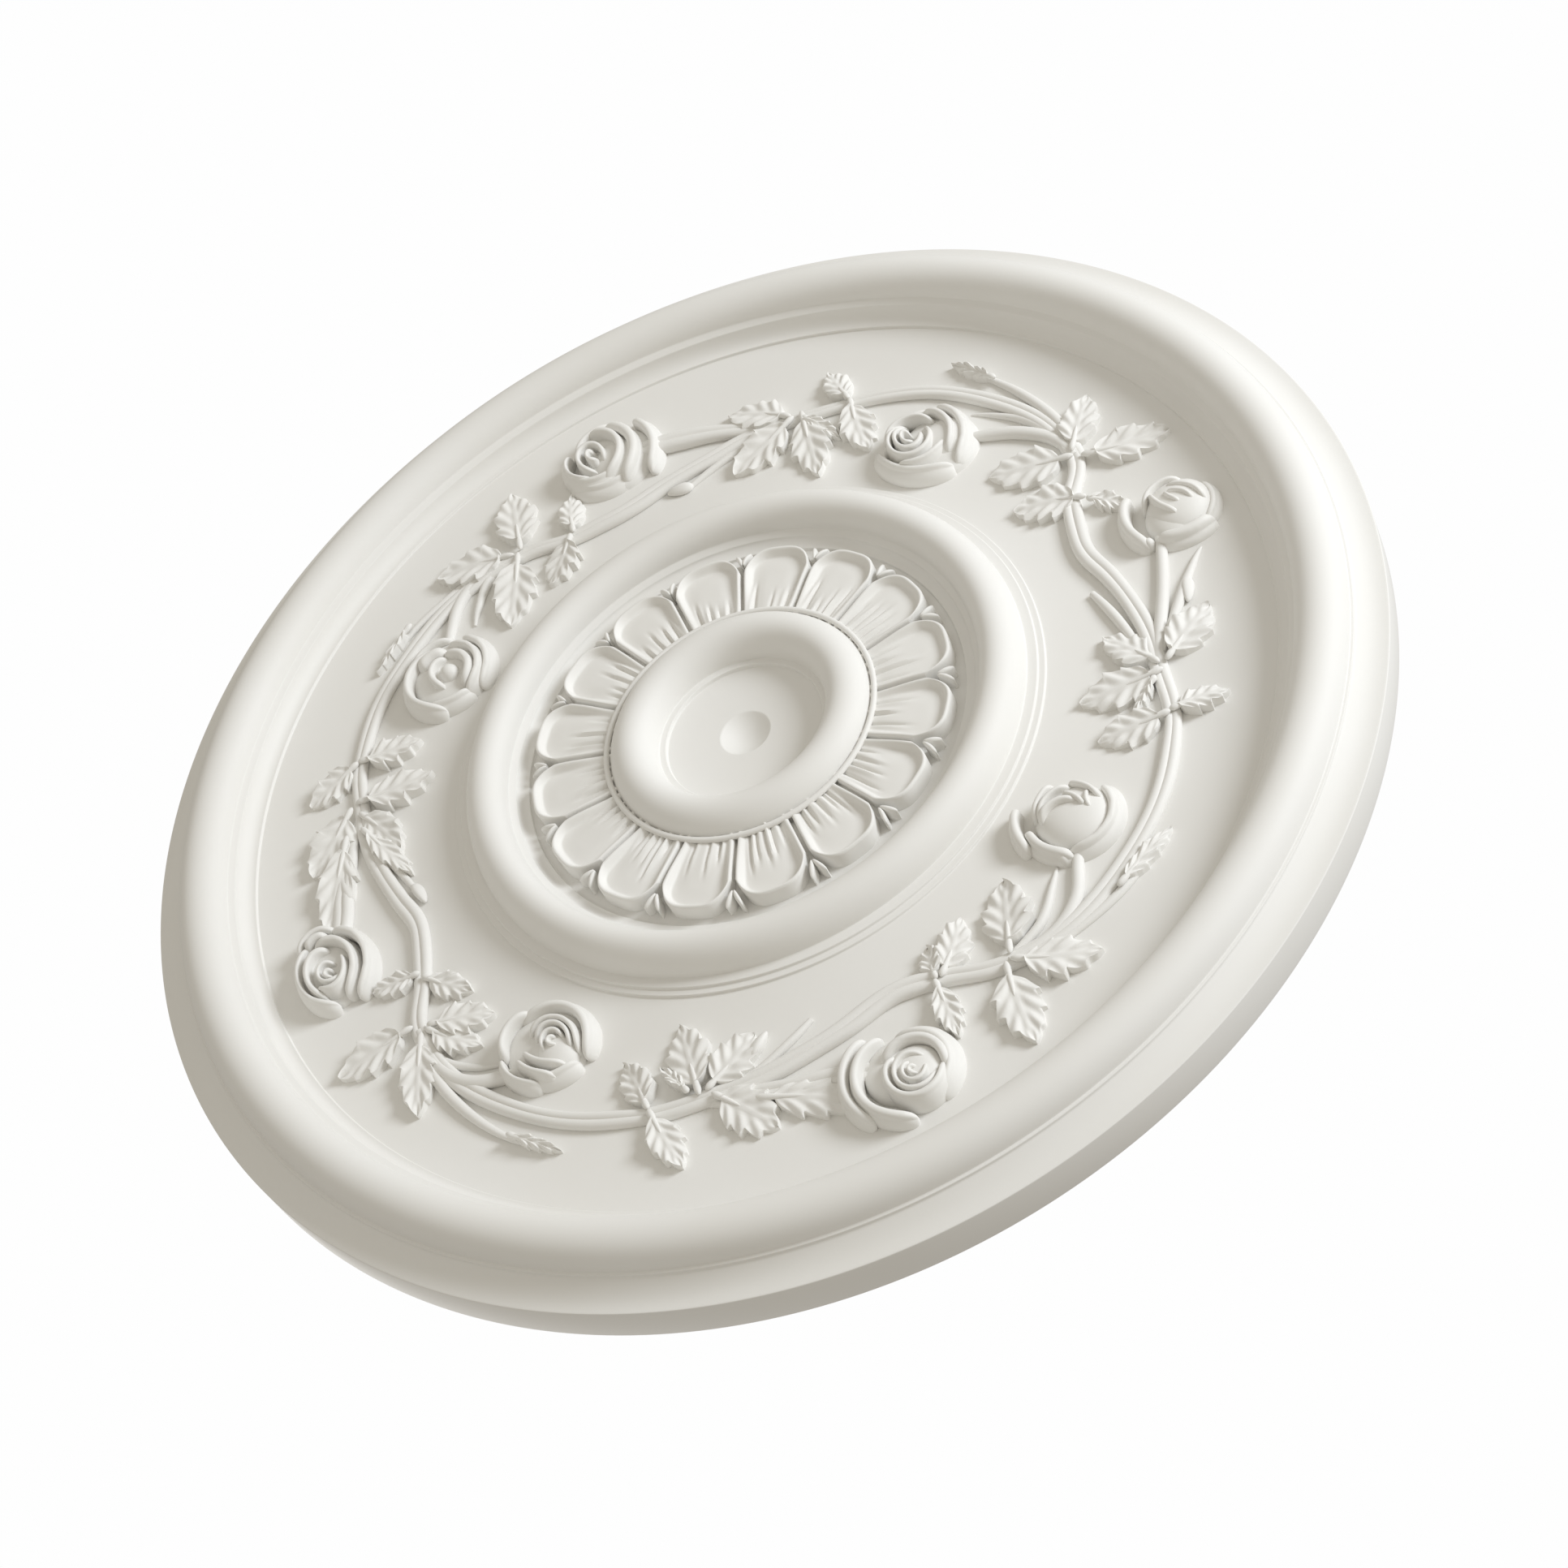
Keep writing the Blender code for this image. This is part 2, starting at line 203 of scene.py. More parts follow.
def join(name: str, items: Sequence[bpy.types.Object]) -> bpy.types.Object:
    """Join objects into one.

    Args:
        name: Name of the joined object.
        items: The objects.

    Returns:
        The joined object.
    """
    deselect()
    for item in items:
        item.select_set(True)
    bpy.context.view_layer.objects.active = items[0]
    if len(items) > 1:
        bpy.ops.object.join()
    items[0].name = name
    items[0].data.name = name
    return items[0]


def soft_step(low: float, high: float, value: np.ndarray) -> np.ndarray:
    """Smooth step from 0 at low to 1 at high."""
    share = np.clip((value - low) / (high - low), 0.0, 1.0)
    return share * share * (3 - 2 * share)


def bump_at(value: np.ndarray, centre: float, width: float) -> np.ndarray:
    """Bell of height 1 round a centre."""
    return np.exp(-(((value - centre) / width) ** 2))


def curve_through(points: Sequence[Sequence[float]], steps: int) -> np.ndarray:
    """Sample a Catmull-Rom curve through points of any number of values.

    Args:
        points: The points, at least two.
        steps: Samples between one point and the next.

    Returns:
        The samples, one row each, with the last point at the end.
    """
    known = np.array([points[0], *points, points[-1]], float)
    rows = []
    for index in range(len(points) - 1):
        a, b, c, d = known[index:index + 4]
        for step in range(steps):
            t = step / steps
            curve = 2 * b + (c - a) * t + (2 * a - 5 * b + 4 * c - d) * t ** 2
            rows.append((curve + (3 * b - a - 3 * c + d) * t ** 3) / 2)
    rows.append(known[-1])
    return np.array(rows)


def hex_colour(code: str) -> tuple[float, float, float, float]:
    """Turn an sRGB hex colour into the linear values that a shader takes.

    Args:
        code: Six hex digits, with or without a leading hash.

    Returns:
        Linear red, green and blue, and an alpha of 1.
    """
    digits = code.lstrip("#")
    values = []
    for index in range(0, 6, 2):
        value = int(digits[index:index + 2], 16) / 255
        values.append(value / 12.92 if value <= 0.04045 else ((value + 0.055) / 1.055) ** 2.4)
    return (*values, 1.0)


def add_node(
    tree: bpy.types.NodeTree, kind: str, settings: dict, **links: bpy.types.NodeSocket
) -> bpy.types.Node:
    """Add a node with its settings, socket values and links.

    Args:
        tree: The node tree.
        kind: Type of the node.
        settings: Values by property name, or by socket name where no such property exists.
        links: Output sockets by the name of the input socket, with _ for a space.

    Returns:
        The node.
    """
    node = tree.nodes.new(kind)
    for name, value in settings.items():
        if hasattr(node, name):
            setattr(node, name, value)
        else:
            node.inputs[name].default_value = value
    for name, socket in links.items():
        tree.links.new(socket, node.inputs[name.replace("_", " ")])
    return node


@dataclass(frozen=True)
class PrimedPolyurethane:
    """Moulded high-density polyurethane foam with a factory coat of matt white primer.

    Moulding gives the eye crisp but slightly rounded carving, and the sprayed primer a dull, warm
    white with a very fine orange peel and faint uneven patches where the coat is thicker.
    """

    coat: str = "#EDECE9"
    thin_coat: str = "#E8E6E1"
    patch_size: float = 90 * MM
    peel_size: float = 1.4 * MM
    peel_depth: float = 0.02 * MM
    peel_strength: float = 0.5
    roughness: float = 0.62
    roughness_spread: float = 0.05
    ior: float = 1.46

    def material(self) -> bpy.types.Material:
        """Make the material.

        Returns:
            The material, which reads Object coordinates.
        """
        made = bpy.data.materials.new("primed_polyurethane")
        made.use_nodes = True
        tree = made.node_tree
        shader = tree.nodes["Principled BSDF"]
        shader.inputs["IOR"].default_value = self.ior
        shader.inputs["Metallic"].default_value = 0.0
        where = add_node(tree, "ShaderNodeTexCoord", {}).outputs["Object"]
        patches = add_node(
            tree, "ShaderNodeTexNoise", {"Scale": 1 / self.patch_size, "Detail": 4.0}, Vector=where
        )
        colour = add_node(tree, "ShaderNodeMix", {"data_type": "RGBA"})
        # The node has an A, a B and a result for each data type: 6, 7 and 2 are the colour ones.
        colour.inputs[6].default_value = hex_colour(self.thin_coat)
        colour.inputs[7].default_value = hex_colour(self.coat)
        tree.links.new(patches.outputs["Fac"], colour.inputs[0])
        tree.links.new(colour.outputs[2], shader.inputs["Base Color"])
        peel = add_node(
            tree, "ShaderNodeTexNoise", {"Scale": 1 / self.peel_size, "Detail": 3.0}, Vector=where
        )
        rough = add_node(
            tree, "ShaderNodeMapRange",
            {
                "To Min": self.roughness - self.roughness_spread,
                "To Max": self.roughness + self.roughness_spread,
            },
            Value=peel.outputs["Fac"],
        )
        tree.links.new(rough.outputs["Result"], shader.inputs["Roughness"])
        bump = add_node(
            tree, "ShaderNodeBump",
            {"Strength": self.peel_strength, "Distance": self.peel_depth},
            Height=peel.outputs["Fac"],
        )
        tree.links.new(bump.outputs["Normal"], shader.inputs["Normal"])
        return made


@dataclass
class Mouldings:
    """Turned body: wall, rim, flat field, ring, rosette floor, hub and well.

    The outer radius and the height of the rim's crest come from the frame. The other sizes are the
    part's own or close to them, with finer steps, fillets and lips.
    """

    outer_radius: float
    crest_height: float
    wall_height: float = 19 * MM
    cove_width: float = 14 * MM
    cove_rise: float = 5 * MM
    cove_sag: float = 1.32 * MM
    fillet_width: float = 1.6 * MM
    fillet_rise: float = 1.4 * MM
    roll_width: float = 24 * MM
    inner_drop: float = 1.9 * MM
    inner_width: float = 3.2 * MM
    cove_lip: float = 1.6 * MM
    field_cove_width: float = 6.4 * MM
    field_height: float = 13.5 * MM
    ring_radius: float = 127 * MM
    ring_width: float = 21 * MM
    ring_rise: float = 13 * MM
    ledge_width: float = 8 * MM
    ledge_rise: float = 3 * MM
    ledge_step: float = 3.2 * MM
    ledge_drop: float = 1.5 * MM
    ring_cove_width: float = 5.4 * MM
    rosette_floor: float = 12 * MM
    hub_radius: float = 53 * MM
    hub_width: float = 25 * MM
    hub_inset: float = 1.4 * MM
    hub_lip: float = 1 * MM
    hub_rise: float = 14.8 * MM
    step_width: float = 1.8 * MM
    step_rise: float = 2.3 * MM
    well_floor: float = 11 * MM
    dimple_radius: float = 12.5 * MM
    dimple_depth: float = 4.8 * MM
    edge_softness: float = 0.45 * MM
    sharp_from: float = 25.0
    turn_steps: int = 320
    arc_steps: int = 26

    @property
    def hub_out(self) -> float:
        """Outer foot of the hub."""
        return self.hub_radius + self.hub_width / 2

    def roll(self, start: Spot, end: Spot, rise: float) -> list[Spot]:
        """Half-oval crest between two feet.

        Args:
            start: Its inner foot, as (radius, height).
            end: Its outer foot.
            rise: Height of the crest over the feet.

        Returns:
            Its points, both feet included.
        """
        points = []
        for index in range(self.arc_steps + 1):
            turn = math.pi * index / self.arc_steps
            share = (1 - math.cos(turn)) / 2
            height = start[1] + (end[1] - start[1]) * share + rise * math.sin(turn)
            points.append((start[0] + (end[0] - start[0]) * share, height))
        return points

    def cove(self, start: Spot, end: Spot) -> list[Spot]:
        """Hollow quarter round from a high start to a low end.

        Args:
            start: Its high end, as (radius, height).
            end: Its low end.

        Returns:
            Its points, both ends included.
        """
        points = []
        steps = self.arc_steps // 2
        for index in range(steps + 1):
            turn = math.pi / 2 * index / steps
            radius = start[0] + (end[0] - start[0]) * (1 - math.cos(turn))
            points.append((radius, start[1] + (end[1] - start[1]) * math.sin(turn)))
        return points

    def dimple(self) -> list[Spot]:
        """Round dimple in the floor of the well.

        Returns:
            Its points, from its middle to its lip.
        """
        points = []
        steps = self.arc_steps // 2
        for index in range(steps + 1):
            share = index / steps
            depth = self.dimple_depth * (1 - share ** 2)
            points.append((self.dimple_radius * share, self.well_floor - depth))
        return points

    def section(self) -> list[Spot]:
        """Half section from the middle of the face outwards and back along the flat base.

        Returns:
            Points as (radius, height).
        """
        # Well and hub.
        hub_in = self.hub_radius - self.hub_width / 2
        step_height = self.well_floor + self.step_rise
        points = self.dimple()
        points += [(hub_in - self.step_width, self.well_floor), (hub_in - self.step_width, step_height)]
        foot = (hub_in + self.hub_inset, step_height + self.hub_lip)
        points += [(foot[0], step_height)]
        points += self.roll(foot, (self.hub_out, self.rosette_floor), self.hub_rise)

        # Ring and its ledge.
        ring_in = self.ring_radius - self.ring_width / 2
        ring_out = self.ring_radius + self.ring_width / 2
        foot = self.field_height + self.ledge_rise
        step = (ring_in - self.inner_width, foot)
        end = step[0] - self.ring_cove_width
        points += [(end, self.rosette_floor)]
        points += self.cove(step, (end, self.rosette_floor + self.cove_lip))[::-1]
        points += self.roll((ring_in, foot + self.inner_drop), (ring_out, foot), self.ring_rise)
        ledge_end = ring_out + self.ledge_width
        points += [(ledge_end - self.ledge_step, foot)]
        points += [(ledge_end - self.ledge_step, foot - self.ledge_drop)]
        points += [(ledge_end, foot - self.ledge_drop), (ledge_end, self.field_height)]

        # Rim.
        fillet = self.outer_radius - self.cove_width
        roll_foot = self.wall_height + self.cove_rise + self.fillet_rise
        roll_out = fillet - self.fillet_width
        roll_in = roll_out - self.roll_width
        step = (roll_in - self.inner_width, roll_foot - self.inner_drop)
        end = step[0] - self.field_cove_width
        points += [(end, self.field_height)]
        points += self.cove(step, (end, self.field_height + self.cove_lip))[::-1]
        points += self.roll((roll_in, roll_foot), (roll_out, roll_foot), self.crest_height - roll_foot)

        # Outer cove, wall and flat back.
        steps = self.arc_steps // 2
        points += [(fillet, roll_foot)]
        for index in range(steps + 1):
            share = index / steps
            sag = self.cove_sag * math.sin(math.pi * share)
            height = self.wall_height + self.cove_rise * (1 - share) - sag
            points.append((fillet + self.cove_width * share, height))
        return points + [(self.outer_radius, 0.0), (0.0, 0.0)]

    def build(self) -> bpy.types.Object:
        """Turn the section round the axis.

        Returns:
            The body on the bench.
        """
        section = self.section()
        deselect()
        bpy.ops.mesh.primitive_circle_add(vertices=len(section), fill_type="NOTHING")
        item = bpy.context.object
        item.name = "turned_body"
        for vert, (radius, height) in zip(item.data.vertices, section):
            vert.co = (radius, 0.0, height)
        self.drop_axis_edge(item)
        self.soften_edges(item)
        with editing(item):
            bpy.ops.mesh.select_all(action="SELECT")
            bpy.ops.mesh.spin(
                steps=self.turn_steps, angle=math.tau, center=(0, 0, 0), axis=(0, 0, 1)
            )
            bpy.ops.mesh.select_all(action="SELECT")
            bpy.ops.mesh.remove_doubles(threshold=0.01 * MM)
            bpy.ops.mesh.normals_make_consistent(inside=False)
        return item

    @staticmethod
    def drop_axis_edge(item: bpy.types.Object) -> None:
        """Delete the edge of the section that lies along the axis.

        Args:
            item: The section, a closed ring of edges.
        """
        mesh = item.data
        with editing(item, Pick.EDGES):
            bpy.ops.mesh.select_all(action="DESELECT")
        for edge in mesh.edges:
            edge.select = all(abs(mesh.vertices[vert].co.x) < 0.001 * MM for vert in edge.vertices)
        with editing(item, Pick.EDGES):
            bpy.ops.mesh.delete(type="EDGE")

    def soften_edges(self, item: bpy.types.Object) -> None:
        """Bevel the sharp corners of the section, as a mould's edges are.

        Args:
            item: The section, an open chain of edges.
        """
        mesh = item.data
        sharp = math.cos(math.radians(self.sharp_from))
        spots = [vert.co.copy() for vert in mesh.vertices]
        chosen = []
        for before, spot, after in zip(spots, spots[1:], spots[2:]):
            corner = (spot - before).normalized().dot((after - spot).normalized())
            chosen.append(corner < sharp)
        with editing(item):
            bpy.ops.mesh.select_all(action="DESELECT")
        for vert, is_corner in zip(list(mesh.vertices)[1:], chosen):
            vert.select = is_corner
        with editing(item):
            bpy.ops.mesh.bevel(affect="VERTICES", offset=self.edge_softness, segments=3)


@dataclass
class Rosette:
    """Sixteen dished petals round the hub, with a two-lobed dart in each gap at their ends."""

    inner: float
    floor: float
    count: int = 16
    reach: float = 104 * MM
    gap: float = 1.9 * MM
    rise: float = 9.4 * MM
    rim_width: float = 1.3 * MM
    rim_slope: float = 2.8 * MM
    dish: float = 3.7 * MM
    swell: float = 0.7 * MM
    arris: float = 1.2 * MM
    arris_width: float = 0.9 * MM
    end_round: float = 0.34
    tuck: float = 5 * MM
    pleat_depth: float = 1.5 * MM
    pleat_width: float = 0.75 * MM
    collar: float = 1.4 * MM
    collar_height: float = 0.78
    lobe_length: float = 7.6 * MM
    lobe_width: float = 2.5 * MM
    lobe_spread: float = 22.0
    bed_tuck: float = 6 * MM
    bed_radius: float = 95 * MM
    bed_rise: float = 4.4 * MM
    root: float = 2 * MM

    def pleats(self, along: np.ndarray, y: np.ndarray, half: np.ndarray, seed: int) -> np.ndarray:
        """Grooves that run out from the hub, each with a soft ridge beside it.

        Args:
            along: Share of the petal's length at each point.
            y: Distance from the petal's middle line.
            half: Half-width of the petal there.
            seed: Seed of the grooves' number, places and lengths.

        Returns:
            Height to add at each point.
        """
        draw = random.Random(seed)
        count = draw.choice((3, 4, 4, 5))
        height = np.zeros_like(y)
        for index in range(count):
            place = (index + 0.5 + draw.uniform(-0.22, 0.22)) / count * 1.5 - 0.75
            length = draw.uniform(0.42, 0.8)
            depth = self.pleat_depth * draw.uniform(0.6, 1.0)
            fade = 1 - soft_step(length - 0.3, length, along)
            away = y - place * half
            ridge = draw.choice((-1, 1)) * 2.1 * self.pleat_width
            height -= depth * fade * bump_at(away, 0.0, self.pleat_width)
            height += 0.6 * depth * fade * bump_at(away, ridge, 1.6 * self.pleat_width)
        return height

    def petal_place(self, spots: np.ndarray, seed: int) -> np.ndarray:
        """Shape a blank into one petal along +X.

        Args:
            spots: Points of the blank.
            seed: Seed of its pleats.

        Returns:
            The points of the petal.
        """
        along = np.sin((spots[:, 0] + 1) / 2 * math.pi / 2)
        across = np.sin(spots[:, 1] * math.pi / 2)
        start = self.inner - self.tuck
        length = (self.reach - start) * (1 - self.end_round * np.abs(across) ** 3.2)
        x = start + length * along
        half = x * math.tan(math.pi / self.count) - self.gap / 2
        y = half * across
        to_side = (1 - np.abs(across)) * half
        to_end = (1 - along) * length * 0.92
        near = 0.02 * MM
        edge = 1 / (1 / (to_side + near) ** 3 + 1 / (to_end + near) ** 3) ** (1 / 3)
        rounding = self.arris * (1 - np.clip(edge / self.arris_width, 0, 1)) ** 2
        deep = self.dish * (0.42 + 0.58 * soft_step(0.25, 0.8, along))
        dished = deep * soft_step(self.rim_width, self.rim_width + self.rim_slope, edge)
        swell = self.swell * soft_step(4 * MM, 11 * MM, edge)
        lift = 0.80 + 0.20 * soft_step(0.1, 0.9, along)
        z = self.floor + self.rise * lift - rounding - dished + swell
        inside = soft_step(self.rim_width, self.rim_width + 1.6 * MM, edge)
        z += self.pleats(along, y, half, seed) * inside
        return np.column_stack([x, y, z])

    def petal(self, index: int) -> bpy.types.Object:
        """Make one petal in its place.

        Args:
            index: Number of the petal round the rosette.

        Returns:
            The petal.
        """
        item = new_blank(f"petal_{index + 1}", 52, 60)
        turn = math.tau * (index + 0.5) / self.count
        reshape(item, lambda spots: self.petal_place(spots, index))
        root_down(item, self.floor - self.root)
        item.data.transform(Matrix.Rotation(turn, 4, "Z"))
        return item

    def lobe_place(self, spots: np.ndarray, side: int) -> np.ndarray:
        """Pull a ball into one lobe of a dart along +X.

        Args:
            spots: Points of the ball.
            side: Which lobe, -1 or 1.

        Returns:
            The points of the lobe.
        """
        share = (spots[:, 2] + 1) / 2
        swell = 0.75 + 0.4 * share
        top = self.floor + self.rise * (0.98 - 0.16 * share ** 2)
        z = top - self.lobe_width * 0.6 * (1 - spots[:, 1]) * swell
        z = np.where(spots[:, 1] < -0.2, self.floor - self.root, z)
        x = self.reach - self.lobe_length + self.lobe_length * share
        bend = math.tan(math.radians(self.lobe_spread)) * self.lobe_length * share ** 1.3
        y = self.lobe_width / 2 * spots[:, 0] * swell + side * (bend + 0.5 * MM)
        return np.column_stack([x, y, z])

    def dart(self, index: int) -> list[bpy.types.Object]:
        """Make the two lobes of a dart, which spread from the end of a gap.

        Args:
            index: Number of the gap round the rosette.

        Returns:
            The lobes.
        """
        turn = math.tau * index / self.count
        lobes = []
        for side in (-1, 1):
            item = new_ball(f"lobe_{index + 1}", 16, 14)
            reshape(item, lambda spots: self.lobe_place(spots, side))
            face_outwards(item)
            item.data.transform(Matrix.Rotation(turn, 4, "Z"))
            lobes.append(item)
        return lobes

    def neck(self) -> bpy.types.Object:
        """Make the thin bead round the foot of the hub.

        Returns:
            The bead.
        """
        deselect()
        height = self.floor + self.rise * self.collar_height
        bpy.ops.mesh.primitive_torus_add(
            major_segments=192, minor_segments=12, major_radius=self.inner + 0.6 * MM,
            minor_radius=self.collar, location=(0, 0, height),
        )
        item = bpy.context.object
        bpy.ops.object.transform_apply(location=True)
        return item

    def bed(self) -> bpy.types.Object:
        """Make the low ring under the petals, which closes the gaps between them below.

        Returns:
            The ring.
        """
        deselect()
        middle = (self.inner - self.bed_tuck + self.bed_radius) / 2
        bpy.ops.mesh.primitive_torus_add(
            major_segments=128, minor_segments=16, major_radius=middle,
            minor_radius=self.bed_radius - middle,
        )
        item = bpy.context.object
        flat = (self.bed_rise + self.root) / (self.bed_radius - middle)
        lift = self.floor - self.root
        reshape(item, lambda spots: spots * np.array([1, 1, flat]) + np.array([0, 0, lift]))
        return item

    def build(self) -> bpy.types.Object:
        """Make the whole rosette.

        Returns:
            The rosette on the bench.
        """
        pieces = [self.petal(index) for index in range(self.count)]
        for index in range(self.count):
            pieces += self.dart(index)
        pieces.append(self.neck())
        pieces.append(self.bed())
        return join("rosette", pieces)


@dataclass
class Field:
    """Flat field that carries the garland: its height, and points on it.

    A place on it is given by degrees round the face and a reach, as a share of the outer radius.
    """

    radius: float
    height: float
    root: float = 2 * MM
    lean: float = 2.2
    lean_from: float = 265.0
    inset: float = 0.010
    sway: float = 0.014

    def point(self, degrees: float, reach: float) -> Vector:
        """Point on the field, with the garland a little out of true, as if it was laid by hand.

        Args:
            degrees: Place round the face.
            reach: Distance from the middle, as a share of the outer radius.

        Returns:
            The point.
        """
        turn = math.radians(degrees - self.lean * math.sin(math.radians(degrees - self.lean_from)))
        radius = (reach - self.inset - self.sway * math.sin(math.radians(degrees))) * self.radius
        return Vector((radius * math.cos(turn), radius * math.sin(turn), self.height))

    def lay(
        self, start: Vector, forward: Vector, ahead: np.ndarray, across: np.ndarray, up: np.ndarray
    ) -> np.ndarray:
        """Lay the points of a piece on the field, along a heading.

        Args:
            start: Point of the field to measure from.
            forward: The heading, of length 1.
            ahead: Distance of each point along the heading.
            across: Its distance to the left of it.
            up: Its height over the field.

        Returns:
            The points, one row each.
        """
        x = start.x + forward.x * ahead - forward.y * across
        y = start.y + forward.y * ahead + forward.x * across
        return np.column_stack([x, y, self.height + up])


@dataclass
class Leaf:
    """Pointed rose leaf with toothed edges, a raised midrib and side veins.

    Its half-width is a share of its length. Its tilt, arch, bend, teeth and wave are drawn from its
    seed, so that no two leaves are alike.
    """

    ground: Field
    base: Spot
    tip: Spot
    width: float
    seed: int
    fullness: float = 1.08
    teeth: int = 4
    first_tooth: float = 0.4
    tooth_depth: float = 0.40
    rise: float = 5.2 * MM
    midrib: float = 0.9 * MM
    midrib_width: float = 1.2 * MM
    vein: float = 1.15 * MM
    valley: float = 1.0 * MM
    flutter: float = 0.7 * MM
    stalk_share: float = 0.12

    def tooth_edge(self, share: np.ndarray, across: np.ndarray, sizes: np.ndarray) -> np.ndarray:
        """How far the teeth push out the edge of the blade.

        Args:
            share: Place along the blade, from 0 to 1.
            across: Place across it, from -1 to 1.
            sizes: Size of each tooth, one side after the other.

        Returns:
            The push at each point, as a share of the half-width.
        """
        phase = self.teeth * share - self.first_tooth
        tooth = np.floor(phase).astype(int) + 1
        saw = phase - np.floor(phase)
        saw = saw ** 1.1 * (1 - soft_step(0.74, 1.0, saw))
        amount = sizes[tooth + (across > 0) * (self.teeth + 2)] * self.tooth_depth
        edge = np.abs(across) ** 4 * amount * (saw - 0.35) * soft_step(0.02, 0.16, share)
        return edge * soft_step(1.0, 0.86, share)

    def relief(self, share: np.ndarray, across: np.ndarray, y: np.ndarray) -> np.ndarray:
        """Height of the midrib, the side veins and the valley along the midrib.

        Args:
            share: Place along the blade, from 0 to 1.
            across: Place across it, from -1 to 1.
            y: Distance from its middle line.

        Returns:
            Height to add at each point.
        """
        flow = self.teeth * share - self.first_tooth + 1.2 * (1 - np.abs(across))
        ridge = 0.5 + 0.5 * np.cos(math.tau * flow)
        veins = self.vein * (ridge - 0.5) * soft_step(0.06, 0.45, np.abs(across))
        veins *= soft_step(0.0, 0.2, share) * soft_step(1.0, 0.75, share)
        rib = self.midrib * bump_at(y, 0.0, self.midrib_width) * soft_step(1.0, 0.8, share)
        return rib + veins - self.valley * bump_at(np.abs(across), 0.0, 0.3)

    def blade_place(self, spots: np.ndarray) -> np.ndarray:
        """Shape a blank into the blade, from the stalk to the tip.

        Args:
            spots: Points of the blank.

        Returns:
            The points of the blade.
        """
        draw = random.Random(self.seed)
        tilt = draw.choice((-1, 1)) * draw.uniform(0.5, 1.5) * MM
        arch = draw.uniform(-0.6, 1.2) * MM
        bend = draw.uniform(-0.12, 0.12)
        wave = draw.uniform(0, math.tau)
        sizes = np.array([draw.uniform(0.55, 1.35) for _ in range(2 * self.teeth + 4)])
        start = self.ground.point(*self.base)
        axis = self.ground.point(*self.tip) - start
        length = axis.length * (1 - self.stalk_share)
        share = (spots[:, 0] + 1) / 2
        across = np.sin(spots[:, 1] * math.pi / 2)
        outline = share ** 0.55 * (1 - share) ** 0.8 / 0.42
        edge = self.tooth_edge(share, across, sizes)
        half = self.fullness * self.width * length * outline
        y = half * (across + np.sign(across) * edge)
        x = length * (share + 0.12 * edge)

        droop = 1 - 0.5 * share ** 2.2
        flutter = self.flutter * np.sin(math.tau * 0.5 * self.teeth * share + wave) * across ** 2
        z = self.rise * droop + arch * across ** 2 + tilt * across + flutter
        z += self.relief(share, across, y) - 0.6 * MM * np.abs(across) ** 8
        z = np.maximum(z, 0.8 * MM)
        x += axis.length * self.stalk_share
        y += bend * length * share ** 2
        return self.ground.lay(start, axis.normalized(), x, y, z)

    def stalk_place(self, spots: np.ndarray) -> np.ndarray:
        """Pull a ball into the stalk, with a small knuckle where it leaves the stem.

        Args:
            spots: Points of the ball.

        Returns:
            The points of the stalk.
        """
        start = self.ground.point(*self.base)
        axis = self.ground.point(*self.tip) - start
        share = (spots[:, 2] + 1) / 2
        x = axis.length * (share * 0.5 - 0.06)
        radius = (1.5 * MM + 1.0 * MM * bump_at(share, 0.1, 0.2)) * (1 - 0.45 * share)
        y = radius * spots[:, 0]
        z = self.rise * (1 - 0.12 * share) - 0.2 * MM + radius * spots[:, 1]
        return self.ground.lay(start, axis.normalized(), x, y, z)

    def build(self) -> list[bpy.types.Object]:
        """Make the leaf.

        Returns:
            The blade and its stalk.
        """
        blade = new_blank("leaf", 56, 28)
        reshape(blade, self.blade_place)
        root_down(blade, self.ground.height - self.ground.root)
        stalk = new_ball("stalk", 10, 12)
        reshape(stalk, self.stalk_place)
        face_outwards(stalk)
        return [blade, stalk]


